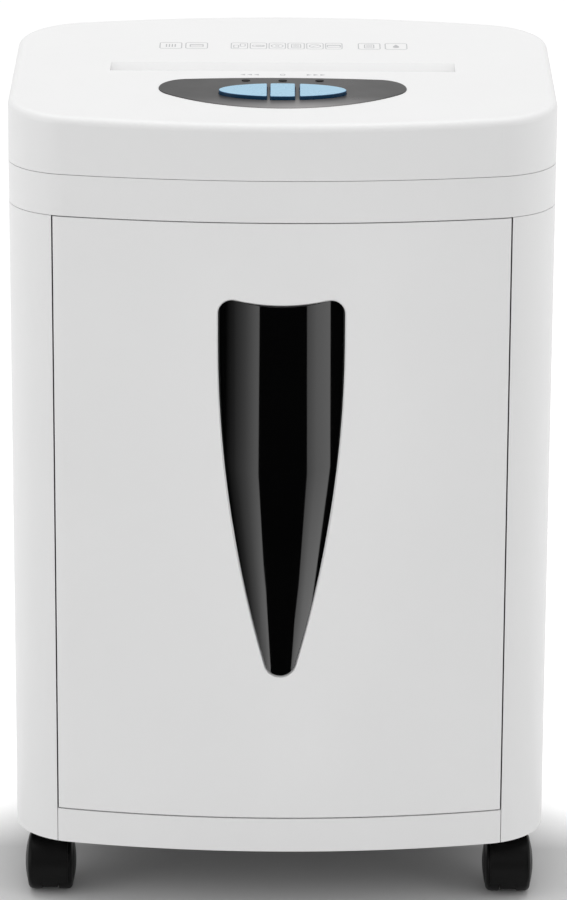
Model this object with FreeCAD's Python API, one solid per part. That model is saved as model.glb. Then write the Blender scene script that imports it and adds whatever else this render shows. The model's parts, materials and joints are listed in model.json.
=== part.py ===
import FreeCAD, Part
import math
import os

# Freestanding paper shredder with a pull-out waste bin, on four twin-wheel casters.
# Millimetres, +Z up, front facing -Y, origin on the floor under the centre of the body.

# Overall body
BODY_WIDTH = 366.0
BODY_DEPTH = 258.0
CABINET_HEIGHT = 444.0
HOUSING_HEIGHT = 28.4
COVER_REAR_HEIGHT = 56.6
GROUND_CLEARANCE = 46.0
BOW_RADIUS = 660.0
CORNER_RADIUS = 49.0
TOP_SLOPE_DEG = 4.27
TOP_EDGE_RADIUS = 5.0
SHELL_SEAM = 0.4

# Walls
CABINET_WALL = 3.0
COVER_WALL = 3.0
DOOR_WALL = 4.0
PLATE_THICKNESS = 4.0

# General clearances
FIT_CLEARANCE = 0.1
RUNNING_CLEARANCE = 0.05
BODY_CLEARANCE = 0.4

# Drawer front, window and plinth
POST_WIDTH = 30.8
DOOR_GAP = 1.0
PLINTH_HEIGHT = 24.4
DOOR_RETURN_DEPTH = 14.0
POST_RETURN_DEPTH = 24.0
WINDOW_HALF_WIDTH = 42.0
WINDOW_TOP_BELOW_DOOR = 57.0
WINDOW_DIP = 4.2
WINDOW_SHOULDER_RADIUS = 9.0
WINDOW_STRAIGHT = 20.6
WINDOW_HEIGHT = 258.4
WINDOW_TIP_RADIUS = 10.0
WINDOW_BULGE_RADIUS = 180.0
WINDOW_THICKNESS = 3.0
WINDOW_BEVEL = 1.6
WINDOW_BEVEL_DEPTH = 2.8

# Waste bin and its rails
BIN_WALL = 2.2
BIN_SIDE_GAP = 14.0
BIN_FRONT_GAP = 6.0
BIN_TOP_GAP = 20.0
BIN_CORNER_RADIUS = 20.0
BIN_RIM = 5.0
DRAWER_BOSS_RADIUS = 6.0
GLIDE_FRONT_GAP = 0.2
RAIL_FLOOR = 74.0
RAIL_THICKNESS = 2.5
GLIDE_WIDTH = 8.0
GLIDE_HEIGHT = 6.0
GLIDE_INSET = 6.0
RAIL_REAR = 95.0

# Casters
WHEEL_RADIUS = 20.0
WHEEL_TREAD = 9.6
CASTER_WEB = 11.0
CASTER_TRAIL = 12.0
CASTER_STEM_RADIUS = 3.0
CASTER_AXLE_RADIUS = 2.5
CASTER_SIDE_INSET = 24.0
CASTER_END_INSET = 59.0
CASTER_SOCKET_HEIGHT = 16.0
HOOD_WIDTH = 25.0
HOOD_THICKNESS = 1.8
HOOD_WHEEL_GAP = 0.7

# Paper path, measured back from the front of the body
SLOT_FROM_FRONT = 133.0
SLOT_LENGTH = 234.0
SLOT_WIDTH = 6.0
FUNNEL_WIDTH = 20.0
FUNNEL_DEPTH = 6.0
THROAT_DEPTH = 12.0

# Cutters and gears
CUTTER_AXIS_ABOVE_CABINET = 34.0
DISC_RADIUS = 17.0
CUTTING_DEPTH = 6.0
CORE_RADIUS = 10.0
JOURNAL_RADIUS = 6.0
DISC_PITCH = 8.0
DISC_THICKNESS = 3.7
HOOK_COUNT = 5
HOOK_DEPTH = 2.6
FRAME_THICKNESS = 4.0
FINGER_THICKNESS = 3.0
TIE_ROD_RADIUS = 4.0
SYNC_TEETH = 14
SYNC_WIDTH = 10.0
DRIVE_TEETH = 36
DRIVE_MODULE = 1.5
SMALL_TEETH = 14
BIG_TEETH = 50
PINION_TEETH = 12
MOTOR_MODULE = 1.0
GEAR_WIDTH = 8.0
GEAR_STAGE_GAP = 1.0
PRESSURE_ANGLE = 20.0
BACKLASH = 0.3
MOTOR_RADIUS = 28.0
MOTOR_LENGTH = 100.0
MOTOR_WALL = 2.5
MOTOR_RISE = 2.0
MOTOR_REACH = 66.0
MOTOR_REAR_ROOM = 45.0
MOTOR_SHAFT_RADIUS = 4.0
SPINDLE_RADIUS = 3.0

# Control bezel and buttons, on the sloping top
BEZEL_FROM_FRONT = 37.8
BEZEL_DEPTH = 68.2
BEZEL_FRONT_RADIUS = 112.0
BEZEL_REAR_RADIUS = 650.0
BEZEL_END_RADIUS = 20.0
BEZEL_THICKNESS = 2.0
BEZEL_PROUD = 0.5
BUTTON_CENTRE_FROM_FRONT = 70.0
BUTTON_HALF_LENGTH = 42.6
BUTTON_HALF_DEPTH = 15.0
BUTTON_EDGES = ((-60.0, -10.4), (-8.3, 8.3), (11.4, 60.0))
BUTTON_NAMES = ("button_reverse", "button_off", "button_auto")
BUTTON_PROUD = 2.6
BUTTON_SKIRT = 4.0
BUTTON_LIP = 0.8
BUTTON_CORNER_RADIUS = 1.2
BUTTON_EDGE_RADIUS = 0.6
BUTTON_TRAVEL = 1.5
BUTTON_CLEARANCE = 0.35
LENS_SPACING = 24.8
LENS_FROM_REAR_EDGE = 7.0
LENS_HALF_LENGTH = 2.8
LENS_HALF_DEPTH = 1.7
LENS_PROUD = 0.4
TACT_HEIGHT = 4.0

# Screws, vents and openings of the cabinet
SCREW_RADIUS = 2.0
SCREW_HEAD_RADIUS = 4.0
SCREW_HEAD_HEIGHT = 2.0
SCREW_SEAT_WALL = 0.8
SCREW_LENGTH = 14.0
VENT_COUNT = 15
VENT_PITCH = 8.0
VENT_HALF_WIDTH = 2.5
VENT_HEIGHT = 60.0

# Caster details
WHEEL_EDGE_RADIUS = 3.5
WHEEL_DOME = 2.2
HOOD_BOSS_RADIUS = 5.2
HOOD_TOP_GAP = 0.8
HOOD_FRONT_DEG = 205.0
HOOD_BACK_DEG = 40.0
HOOD_WEB_CLEARANCE = 7.0
STEM_IN_HOOD = 13.0

# Head shells and mains inlet
HOUSING_FLOOR = 3.0
LIP_WALL = 2.0
LIP_HEIGHT = 4.0
HEAD_BOSS_RADIUS = 5.0
INLET_X = 60.0
INLET_WIDTH = 27.0
INLET_HEIGHT = 19.0
INLET_DEPTH = 16.0
INLET_CORNER = 3.0
INLET_WALL = 2.0
INLET_LIP = 1.5
INLET_LIP_THICKNESS = 0.9
COVER_BOSS_HEIGHT = 16.0

# Paper guide, cutters and frames
GUIDE_WALL = 2.0
GUIDE_TOP_GAP = 0.5
DISC_COUNT = 29
BUSH_RADIUS = 10.0
BUSH_FLANGE = 1.5
COMB_THICKNESS = 5.0
COMB_RUN = 2.0
FRAME_MARGIN = 12.0
FRAME_FRONT = 36.0
FRAME_REAR = 34.0
SENSOR_WIDTH = 14.0
SENSOR_DEPTH = 5.0
SENSOR_BELOW_THROAT = 3.5
SENSOR_BEAM_RADIUS = 2.0

# Gear and motor details
SPINDLE_HEAD = 3.0
ARMATURE_RADIUS = 20.0
ARMATURE_LENGTH = 60.0
ADDENDUM = 0.75
DEDENDUM = 1.05

# Boards
BOARD_THICKNESS = 1.6
BOARD_X0 = 20.0
BOARD_X1 = 112.0
BOARD_DEPTH = 44.0
BOARD_FROM_REAR = 24.0
STANDOFF_HEIGHT = 3.0

# Levels and places worked out from the sizes above
HALF_WIDTH = BODY_WIDTH / 2
HALF_DEPTH = BODY_DEPTH / 2
CABINET_TOP = GROUND_CLEARANCE + CABINET_HEIGHT
HOUSING_TOP = CABINET_TOP + HOUSING_HEIGHT
SLOPE = math.radians(TOP_SLOPE_DEG)
TOP_REAR = HOUSING_TOP + COVER_REAR_HEIGHT
TOP_CENTRE = TOP_REAR - HALF_DEPTH * math.tan(SLOPE)
DOOR_HALF = HALF_WIDTH - POST_WIDTH - DOOR_GAP / 2
POST_FACE = DOOR_HALF + DOOR_GAP
DOOR_BOTTOM = GROUND_CLEARANCE + PLINTH_HEIGHT + DOOR_GAP / 2
DOOR_TOP = CABINET_TOP - SHELL_SEAM
DECK_BOTTOM = CABINET_TOP - PLATE_THICKNESS
BASE_TOP = GROUND_CLEARANCE + PLATE_THICKNESS
SLOT_Y = SLOT_FROM_FRONT - HALF_DEPTH
CUTTER_Z = CABINET_TOP + CUTTER_AXIS_ABOVE_CABINET
CUTTER_SPACING = 2 * DISC_RADIUS - CUTTING_DEPTH
SYNC_MODULE = CUTTER_SPACING / SYNC_TEETH
FRONT_CUTTER_Y = SLOT_Y - CUTTER_SPACING / 2
REAR_CUTTER_Y = SLOT_Y + CUTTER_SPACING / 2
FRAME_INNER = SLOT_LENGTH / 2 + 2.0
FRAME_OUTER = FRAME_INNER + FRAME_THICKNESS
BIN_INSET = DOOR_WALL + WINDOW_THICKNESS + BIN_FRONT_GAP
BIN_HALF = DOOR_HALF - BIN_SIDE_GAP
BIN_BOTTOM = RAIL_FLOOR + BODY_CLEARANCE + GLIDE_HEIGHT
BIN_TOP = CABINET_TOP - BIN_TOP_GAP
CASTER_X = HALF_WIDTH - CASTER_SIDE_INSET
CASTER_Y = HALF_DEPTH - CASTER_END_INSET
BUTTON_Y = BUTTON_CENTRE_FROM_FRONT - HALF_DEPTH
BEZEL_FRONT_Y = BEZEL_FROM_FRONT - HALF_DEPTH
BEZEL_REAR_Y = BEZEL_FRONT_Y + BEZEL_DEPTH
PINION_PITCH = PINION_TEETH * MOTOR_MODULE / 2
BIG_PITCH = BIG_TEETH * MOTOR_MODULE / 2
SMALL_PITCH = SMALL_TEETH * DRIVE_MODULE / 2
DRIVE_PITCH = DRIVE_TEETH * DRIVE_MODULE / 2
MOTOR_Z = CUTTER_Z + MOTOR_RISE
MOTOR_Y = min(REAR_CUTTER_Y + MOTOR_REACH, HALF_DEPTH - MOTOR_REAR_ROOM)
MOTOR_CENTRE_DISTANCE = math.hypot(MOTOR_Y - REAR_CUTTER_Y, MOTOR_RISE)
FIRST_REACH = PINION_PITCH + BIG_PITCH
SECOND_REACH = SMALL_PITCH + DRIVE_PITCH
LINE_TO_MOTOR = math.atan2(MOTOR_RISE, MOTOR_Y - REAR_CUTTER_Y)
SPINDLE_COSINE = (SECOND_REACH ** 2 + MOTOR_CENTRE_DISTANCE ** 2 - FIRST_REACH ** 2) / (
    2 * SECOND_REACH * MOTOR_CENTRE_DISTANCE)
SPINDLE_LINE = LINE_TO_MOTOR + math.acos(SPINDLE_COSINE)
SPINDLE_Y = REAR_CUTTER_Y + SECOND_REACH * math.cos(SPINDLE_LINE)
SPINDLE_Z = CUTTER_Z + SECOND_REACH * math.sin(SPINDLE_LINE)
MOTOR_LINE = math.atan2(SPINDLE_Z - MOTOR_Z, SPINDLE_Y - MOTOR_Y)
BIG = 2000.0


def vec(x, y, z):
    return FreeCAD.Vector(x, y, z)


def box(x0, x1, y0, y1, z0, z1):
    """Block between two corners."""
    return Part.makeBox(x1 - x0, y1 - y0, z1 - z0, vec(x0, y0, z0))


def cylinder(radius, length, base, axis):
    return Part.makeCylinder(radius, length, base, axis)


def along_x(radius, x0, x1, y, z):
    """Round bar along X."""
    return cylinder(radius, x1 - x0, vec(x0, y, z), vec(1, 0, 0))


def along_z(radius, z0, z1, x, y):
    """Round bar along Z."""
    return cylinder(radius, z1 - z0, vec(x, y, z0), vec(0, 0, 1))


def mirror_x(shape):
    return shape.mirror(vec(0, 0, 0), vec(1, 0, 0))


def join(shapes):
    """One solid from touching or overlapping shapes."""
    if len(shapes) == 1:
        return shapes[0]
    return shapes[0].multiFuse(shapes[1:]).removeSplitter()


def group(shapes):
    """Several separate solids kept together."""
    return Part.makeCompound(shapes)


def arc_edge(cx, cy, radius, start, end):
    """Arc in the XY plane from one angle to another, in degrees."""
    points = []
    for angle in (start, (start + end) / 2, end):
        turn = math.radians(angle)
        points.append(vec(cx + radius * math.cos(turn), cy + radius * math.sin(turn), 0))
    return Part.Arc(*points).toShape()


def edges_to_face(edges):
    return Part.Face(Part.Wire(edges))


def plan_face(inset):
    """Body outline seen from above: bowed front and rear, round corners, straight sides."""
    corner_x = HALF_WIDTH - CORNER_RADIUS
    bow_y = BOW_RADIUS - HALF_DEPTH
    reach = BOW_RADIUS - CORNER_RADIUS
    corner_y = math.sqrt(reach ** 2 - corner_x ** 2) - bow_y
    lean = math.degrees(math.asin(corner_x / reach))
    side = HALF_WIDTH - inset
    corner = CORNER_RADIUS - inset
    bow = BOW_RADIUS - inset
    edges = [
        arc_edge(0, bow_y, bow, -90 - lean, -90 + lean),
        arc_edge(corner_x, -corner_y, corner, -90 + lean, 0),
        Part.LineSegment(vec(side, -corner_y, 0), vec(side, corner_y, 0)).toShape(),
        arc_edge(corner_x, corner_y, corner, 0, 90 - lean),
        arc_edge(0, -bow_y, bow, 90 - lean, 90 + lean),
        arc_edge(-corner_x, corner_y, corner, 90 + lean, 180),
        Part.LineSegment(vec(-side, corner_y, 0), vec(-side, -corner_y, 0)).toShape(),
        arc_edge(-corner_x, -corner_y, corner, 180, 270 - lean),
    ]
    return edges_to_face(edges)


def plan_prism(inset, z0, z1):
    """The body outline, drawn in by an inset, as a block between two levels."""
    face = plan_face(inset)
    face.translate(vec(0, 0, z0))
    return face.extrude(vec(0, 0, z1 - z0))


def shell_ring(inset, wall, z0, z1):
    return plan_prism(inset, z0, z1).cut(plan_prism(inset + wall, z0, z1))


def below_slope(depth):
    """Everything under the sloping top surface lowered by a depth."""
    block = box(-BIG, BIG, -BIG, BIG, -BIG, 0)
    block.translate(vec(0, 0, -depth))
    return on_slope(block)


def on_slope(shape):
    """Move a shape drawn on a level plane onto the sloping top."""
    placed = shape.copy()
    placed.rotate(vec(0, 0, 0), vec(1, 0, 0), TOP_SLOPE_DEG)
    placed.translate(vec(0, 0, TOP_CENTRE))
    return placed


def yz_prism(points, x0, x1):
    """Straight-sided outline in the YZ plane, stretched along X."""
    corners = [vec(x0, y, z) for y, z in points]
    wire = Part.makePolygon(corners + corners[:1])
    return Part.Face(wire).extrude(vec(x1 - x0, 0, 0))


def slot_holes(xs, y0, y1, half, z0, z1):
    """Upright slots, one at each X."""
    return [box(x - half, x + half, y0, y1, z0, z1) for x in xs]


def export(shape, name):
    shape.exportStep("parts/" + name + ".step")


# ---------------------------------------------------------------- cabinet


def screw(head_point, axis, length):
    """Pan-head screw: the head lies on the side that the axis points away from."""
    shank = cylinder(SCREW_RADIUS, length, head_point, axis)
    head = cylinder(SCREW_HEAD_RADIUS, SCREW_HEAD_HEIGHT, head_point - axis * SCREW_HEAD_HEIGHT, axis)
    driver = cylinder(SCREW_RADIUS * 0.6, 1.0, head_point - axis * SCREW_HEAD_HEIGHT, axis)
    return shank.fuse(head).cut(driver)


def post_return(z0, z1):
    """Inward return of the right-hand post, between two levels."""
    strip = plan_prism(0, z0, z1).common(box(POST_FACE, POST_FACE + CABINET_WALL, -BIG, 0, z0, z1))
    return strip.common(box(0, BIG, -BIG, strip.BoundBox.YMin + POST_RETURN_DEPTH, z0, z1))


def post_room():
    """Space that a level plate leaves round the returns of both posts."""
    back_y = post_return(0, 1).BoundBox.YMax + FIT_CLEARANCE
    x0 = POST_FACE - FIT_CLEARANCE
    x1 = POST_FACE + CABINET_WALL + FIT_CLEARANCE
    room = box(x0, x1, -HALF_DEPTH, back_y, 0, BIG)
    return group([room, mirror_x(room)])


def side_panel():
    """Right side: post, corner, side and rear corner in one shell, with the post's return."""
    bottom = GROUND_CLEARANCE
    shell = shell_ring(0, CABINET_WALL, bottom, CABINET_TOP)
    shell = shell.common(box(POST_FACE, BIG, -BIG, BIG, bottom, CABINET_TOP))
    panel = join([shell, post_return(bottom, CABINET_TOP)])
    z = side_screw_level()
    for y in side_screw_places():
        hole = along_x(SCREW_RADIUS + FIT_CLEARANCE, HALF_WIDTH - 2 * CABINET_WALL, BIG, y, z)
        recess = along_x(SCREW_HEAD_RADIUS + FIT_CLEARANCE, side_screw_seat(), BIG, y, z)
        panel = panel.cut(hole).cut(recess)
    return panel


def side_screw_places():
    return (-CORNER_RADIUS, CORNER_RADIUS)


def side_screw_seat():
    """X of the face under the head of a right-hand side screw, sunk into the wall."""
    return HALF_WIDTH - CABINET_WALL + SCREW_SEAT_WALL


def side_screw_level():
    return BASE_TOP + SCREW_HEAD_RADIUS + 3.0


def base_block(y):
    """Block on the base plate that a side screw bites into."""
    outer = HALF_WIDTH - CABINET_WALL - FIT_CLEARANCE
    block = box(outer - SCREW_LENGTH, outer, y - 6, y + 6, BASE_TOP, side_screw_level() + 6)
    hole = along_x(SCREW_RADIUS + FIT_CLEARANCE, outer - SCREW_LENGTH, outer, y, side_screw_level())
    return block.cut(hole)


def base_plate():
    """Floor of the cabinet with the four caster sockets."""
    plate = plan_prism(CABINET_WALL + FIT_CLEARANCE, GROUND_CLEARANCE, BASE_TOP)
    solids = [plate.cut(post_room())]
    socket_top = BASE_TOP + CASTER_SOCKET_HEIGHT
    for x, y, front in caster_places():
        solids.append(along_z(CASTER_STEM_RADIUS + 4, GROUND_CLEARANCE, socket_top, x, y))
    for y in side_screw_places():
        block = base_block(y)
        solids.append(block)
        solids.append(mirror_x(block))
    plate = join(solids)
    for x, y, front in caster_places():
        plate = plate.cut(along_z(CASTER_STEM_RADIUS + FIT_CLEARANCE, 0, socket_top - 3, x, y))
    return plate


def front_plinth():
    """Fixed strip under the drawer, with a shelf behind its top edge."""
    half = POST_FACE - SHELL_SEAM
    top = DOOR_BOTTOM - DOOR_GAP
    strip = shell_ring(0, CABINET_WALL, GROUND_CLEARANCE, top)
    strip = strip.common(box(-half, half, -BIG, 0, GROUND_CLEARANCE, top))
    shelf = plan_prism(CABINET_WALL / 2, top - CABINET_WALL, top)
    shelf = shelf.common(box(-half, half, -BIG, -HALF_DEPTH + CORNER_RADIUS / 2 + CABINET_WALL, 0, top))
    return join([strip, shelf])


def back_panel():
    """Rear wall of the cabinet with two rows of vents."""
    half = POST_FACE - SHELL_SEAM
    panel = shell_ring(0, CABINET_WALL, GROUND_CLEARANCE, CABINET_TOP)
    panel = panel.common(box(-half, half, 0, BIG, GROUND_CLEARANCE, CABINET_TOP))
    xs = [(i - (VENT_COUNT - 1) / 2) * VENT_PITCH for i in range(VENT_COUNT)]
    high = CABINET_TOP - 40.0
    vents = slot_holes(xs, 0, BIG, VENT_HALF_WIDTH, high - VENT_HEIGHT, high)
    return panel.cut(group(vents))


def outlet_cut(z0, z1):
    """Opening under the cutters that the shreds fall through."""
    reach = CUTTER_SPACING / 2 + DISC_RADIUS - 1.0
    return box(-SLOT_LENGTH / 2, SLOT_LENGTH / 2, SLOT_Y - reach, SLOT_Y + reach, z0, z1)


def deck():
    """Top plate of the cabinet that carries the cutting head."""
    plate = plan_prism(CABINET_WALL + FIT_CLEARANCE, DECK_BOTTOM, CABINET_TOP)
    notch = shell_ring(0, DOOR_WALL / 2 + DOOR_RETURN_DEPTH + DOOR_GAP, 0, BIG)
    plate = plate.cut(notch.common(box(-POST_FACE, POST_FACE, -BIG, 0, 0, BIG)))
    plate = plate.cut(post_room()).cut(outlet_cut(0, BIG))
    for x, y in head_screw_places():
        plate = plate.cut(along_z(SCREW_RADIUS + FIT_CLEARANCE, 0, BIG, x, y))
    return plate


def head_screw_places():
    """Four screws that hold the head to the deck."""
    x = SLOT_LENGTH / 2 + 14.0
    y = HALF_DEPTH - CORNER_RADIUS
    return [(sx * x, sy * y) for sx in (-1, 1) for sy in (-1, 1)]


def cabinet_screws():
    """Side screws into the base, and head screws up through the deck."""
    solids = []
    for y in side_screw_places():
        head = vec(side_screw_seat(), y, side_screw_level())
        right = screw(head, vec(-1, 0, 0), SCREW_LENGTH)
        solids.append(right)
        solids.append(mirror_x(right))
    for x, y in head_screw_places():
        solids.append(screw(vec(x, y, DECK_BOTTOM), vec(0, 0, 1), PLATE_THICKNESS + COVER_WALL))
    return group(solids)


def rail_section(side):
    """Upright leg with a channel on top that a drawer glide runs in."""
    centre = BIN_HALF - GLIDE_INSET - GLIDE_WIDTH / 2
    room = GLIDE_WIDTH / 2 + BODY_CLEARANCE
    outer = room + RAIL_THICKNESS
    y0 = bow_y(BIN_HALF, DOOR_WALL / 2 + DOOR_RETURN_DEPTH) + DOOR_GAP
    y1 = RAIL_REAR
    leg = box(centre - RAIL_THICKNESS / 2, centre + RAIL_THICKNESS / 2, y0, y1, BASE_TOP, RAIL_FLOOR)
    foot = box(centre - outer, centre + outer, y0, y1, BASE_TOP, BASE_TOP + RAIL_THICKNESS)
    floor = box(centre - outer, centre + outer, y0, y1, RAIL_FLOOR - RAIL_THICKNESS, RAIL_FLOOR)
    walls = []
    lip_top = RAIL_FLOOR + GLIDE_HEIGHT - 1.0
    for s in (-1, 1):
        inner = centre + s * room
        edge = centre + s * outer
        walls.append(box(min(inner, edge), max(inner, edge), y0, y1, RAIL_FLOOR - 1, lip_top))
    rail = join([leg, foot, floor] + walls)
    return rail if side > 0 else mirror_x(rail)


# ---------------------------------------------------------------- drawer

def window_outline(grow, y):
    """Long tapered outline with rounded shoulders and a shallow dip on top, at one Y."""
    top = DOOR_TOP - WINDOW_TOP_BELOW_DOOR
    half = WINDOW_HALF_WIDTH
    shoulder = WINDOW_SHOULDER_RADIUS
    shoulder_x = half - shoulder
    shoulder_z = top + WINDOW_DIP - shoulder
    dip_offset = shoulder - WINDOW_DIP
    dip_radius = (shoulder_x ** 2 + dip_offset ** 2 - shoulder ** 2) / (2 * (shoulder - dip_offset))
    dip_z = top + dip_radius
    dip_lean = math.degrees(math.atan2(shoulder_x, dip_z - shoulder_z))
    bend_z = shoulder_z - WINDOW_STRAIGHT
    tip_z = top - WINDOW_HEIGHT + WINDOW_TIP_RADIUS
    drop = bend_z - tip_z
    run = half - WINDOW_TIP_RADIUS
    side_radius = (run ** 2 + drop ** 2) / (2 * run) + WINDOW_TIP_RADIUS
    side_lean = math.degrees(math.atan2(drop, side_radius - half))
    r_side = side_radius + grow
    r_tip = WINDOW_TIP_RADIUS + grow
    r_shoulder = shoulder + grow
    r_dip = dip_radius - grow
    edges = [
        arc_edge(0, dip_z, r_dip, -90 - dip_lean, -90 + dip_lean),
        arc_edge(shoulder_x, shoulder_z, r_shoulder, 90 + dip_lean, 0),
        Part.LineSegment(vec(half + grow, shoulder_z, 0), vec(half + grow, bend_z, 0)).toShape(),
        arc_edge(half - side_radius, bend_z, r_side, 0, -side_lean),
        arc_edge(0, tip_z, r_tip, -side_lean, -180 + side_lean),
        arc_edge(side_radius - half, bend_z, r_side, -180 + side_lean, -180),
        Part.LineSegment(vec(-half - grow, bend_z, 0), vec(-half - grow, shoulder_z, 0)).toShape(),
        arc_edge(-shoulder_x, shoulder_z, r_shoulder, 180, 90 - dip_lean),
    ]
    face = edges_to_face(edges)
    face.rotate(vec(0, 0, 0), vec(1, 0, 0), 90)
    face.translate(vec(0, y, 0))
    return face


def window_prism(grow, y0, y1):
    return window_outline(grow, y0).extrude(vec(0, y1 - y0, 0))


def bow_y(x, inset):
    """Y of the front bow at one X, drawn in by an inset."""
    return BOW_RADIUS - HALF_DEPTH - math.sqrt((BOW_RADIUS - inset) ** 2 - x ** 2)


def window_bevel():
    """Ring that widens the window opening towards the outer face."""
    front_y = -HALF_DEPTH - 1.0
    back_y = -HALF_DEPTH + WINDOW_BEVEL_DEPTH
    wide = FIT_CLEARANCE + WINDOW_BEVEL + WINDOW_BEVEL / WINDOW_BEVEL_DEPTH
    wires = [window_outline(wide, front_y).OuterWire, window_outline(FIT_CLEARANCE, back_y).OuterWire]
    return Part.makeLoft(wires, True, True)


def drawer_front():
    """Bowed front panel with returned edges, screw bosses and the window opening."""
    limits = box(-DOOR_HALF, DOOR_HALF, -BIG, 0, DOOR_BOTTOM, DOOR_TOP)
    shell = shell_ring(0, DOOR_WALL, DOOR_BOTTOM, DOOR_TOP).common(limits)
    inner = box(-DOOR_HALF + CABINET_WALL, DOOR_HALF - CABINET_WALL, -BIG, BIG,
                DOOR_BOTTOM + CABINET_WALL, DOOR_TOP - CABINET_WALL)
    frame = shell_ring(DOOR_WALL / 2, DOOR_RETURN_DEPTH, DOOR_BOTTOM, DOOR_TOP).common(limits).cut(inner)
    solids = [shell, frame]
    for x, z in drawer_screw_places():
        y0 = bow_y(x, DOOR_WALL - 1.0)
        y1 = bow_y(abs(x) - DRAWER_BOSS_RADIUS, BIN_INSET) - FIT_CLEARANCE
        solids.append(cylinder(DRAWER_BOSS_RADIUS, y1 - y0, vec(x, y0, z), vec(0, 1, 0)))
    panel = join(solids)
    for x, z in drawer_screw_places():
        panel = panel.cut(drawer_screw_hole(x, z))
    panel = panel.cut(window_prism(FIT_CLEARANCE, -HALF_DEPTH - 20, -HALF_DEPTH / 2))
    return panel.cut(window_bevel())


def drawer_screw_places():
    return [(x, z) for x in (-BIN_HALF * 0.6, BIN_HALF * 0.6) for z in (BIN_BOTTOM + 30, BIN_TOP - 40)]


def drawer_screw_hole(x, z):
    y0 = bow_y(x, DOOR_WALL / 2)
    return cylinder(SCREW_RADIUS + FIT_CLEARANCE, 40.0, vec(x, y0, z), vec(0, 1, 0))


def drawer_window():
    """Glossy insert: bulged face, with a flange behind the opening."""
    face_y = -HALF_DEPTH + 0.1
    bulge = along_z(WINDOW_BULGE_RADIUS, 0, BIG, 0, face_y + WINDOW_BULGE_RADIUS)
    hollow = along_z(WINDOW_BULGE_RADIUS - WINDOW_THICKNESS, 0, BIG, 0, face_y + WINDOW_BULGE_RADIUS)
    insert = window_prism(0, -HALF_DEPTH - 20, -HALF_DEPTH + 30).common(bulge.cut(hollow))
    behind = shell_ring(DOOR_WALL + FIT_CLEARANCE, WINDOW_THICKNESS, DOOR_BOTTOM, DOOR_TOP)
    flange = window_prism(6.0, -HALF_DEPTH - 20, -HALF_DEPTH + 30).common(behind)
    flange = flange.cut(window_prism(-WINDOW_THICKNESS, -HALF_DEPTH - 20, -HALF_DEPTH + 30))
    edge = window_prism(0, -HALF_DEPTH, -HALF_DEPTH + 30).cut(window_prism(-WINDOW_THICKNESS, -BIG, BIG))
    edge = edge.common(plan_prism(DOOR_WALL / 2, DOOR_BOTTOM, DOOR_TOP)).common(bulge)
    edge = edge.cut(plan_prism(DOOR_WALL + WINDOW_THICKNESS, 0, BIG))
    return join([insert, edge, flange])


def bin_solid(extra, z0, z1):
    inset = BIN_INSET + extra
    half = BIN_HALF - extra
    block = plan_prism(inset, z0, z1).common(box(-half, half, -BIG, BIG, z0, z1))
    upright = [e for e in block.Edges if is_upright(e)]
    return block.makeFillet(BIN_CORNER_RADIUS - extra, upright)


def is_corner(edge):
    """Upright edge where two faces of a button meet at an angle, unlike the oval's seam."""
    return is_upright(edge) and abs(edge.BoundBox.XMax) < BUTTON_HALF_LENGTH - 1.0


def is_upright(edge):
    start = edge.Vertexes[0].Point
    end = edge.Vertexes[-1].Point
    return abs(start.x - end.x) < 0.01 and abs(start.y - end.y) < 0.01 and abs(start.z - end.z) > 1


def waste_bin():
    """Open tub that catches the shreds, with a rolled rim."""
    tub = bin_solid(0, BIN_BOTTOM, BIN_TOP).cut(bin_solid(BIN_WALL, BIN_BOTTOM + BIN_WALL, BIN_TOP))
    rim_bottom = BIN_TOP - BIN_RIM
    rim = bin_solid(-BIN_WALL, rim_bottom, BIN_TOP).cut(bin_solid(BIN_WALL, rim_bottom, BIN_TOP))
    tub = join([tub, rim])
    for x, z in drawer_screw_places():
        tub = tub.cut(drawer_screw_hole(x, z))
    return tub


def drawer_glides():
    """Two bars under the bin, running from the drawer front to the back of the rails."""
    centre = BIN_HALF - GLIDE_INSET - GLIDE_WIDTH / 2
    z0 = RAIL_FLOOR + BODY_CLEARANCE
    front = bow_y(centre + GLIDE_WIDTH / 2, DOOR_WALL) + GLIDE_FRONT_GAP
    bar = box(centre - GLIDE_WIDTH / 2, centre + GLIDE_WIDTH / 2, front, RAIL_REAR - 2, z0, BIN_BOTTOM)
    return group([bar, mirror_x(bar)])


def drawer_screws():
    """Screws from inside the bin into the bosses of the drawer front."""
    solids = []
    for x, z in drawer_screw_places():
        y = bow_y(abs(x) + SCREW_HEAD_RADIUS, BIN_INSET + BIN_WALL) + FIT_CLEARANCE
        solids.append(screw(vec(x, y, z), vec(0, -1, 0), BIN_INSET + BIN_WALL - DOOR_WALL))
    return group(solids)


# ---------------------------------------------------------------- casters


def caster_places():
    """X, Y of each swivel axis, and the side (-1 front, 1 rear) that the wheels trail to."""
    return [(sx * CASTER_X, sy * CASTER_Y, sy) for sy in (-1, 1) for sx in (-1, 1)]


def caster_frame(shape, x, y, side):
    """Place a shape drawn round the wheel centre, with the trail towards -Y."""
    placed = shape.copy()
    if side > 0:
        placed.rotate(vec(0, 0, 0), vec(0, 0, 1), 180)
    placed.translate(vec(x, y + side * CASTER_TRAIL, WHEEL_RADIUS))
    return placed


def hood_sector(radius, length):
    """Slice of a round bar along X between the hood's front and back edges."""
    points = [vec(0, 0, 0)]
    steps = 12
    for i in range(steps + 1):
        turn = math.radians(HOOD_BACK_DEG + (HOOD_FRONT_DEG - HOOD_BACK_DEG) * i / steps)
        points.append(vec(0, 2 * radius * math.cos(turn), 2 * radius * math.sin(turn)))
    wedge = Part.Face(Part.makePolygon(points + points[:1])).extrude(vec(length, 0, 0))
    wedge.translate(vec(-length / 2, 0, 0))
    return wedge.common(along_x(radius, -length / 2, length / 2, 0, 0))


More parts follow.
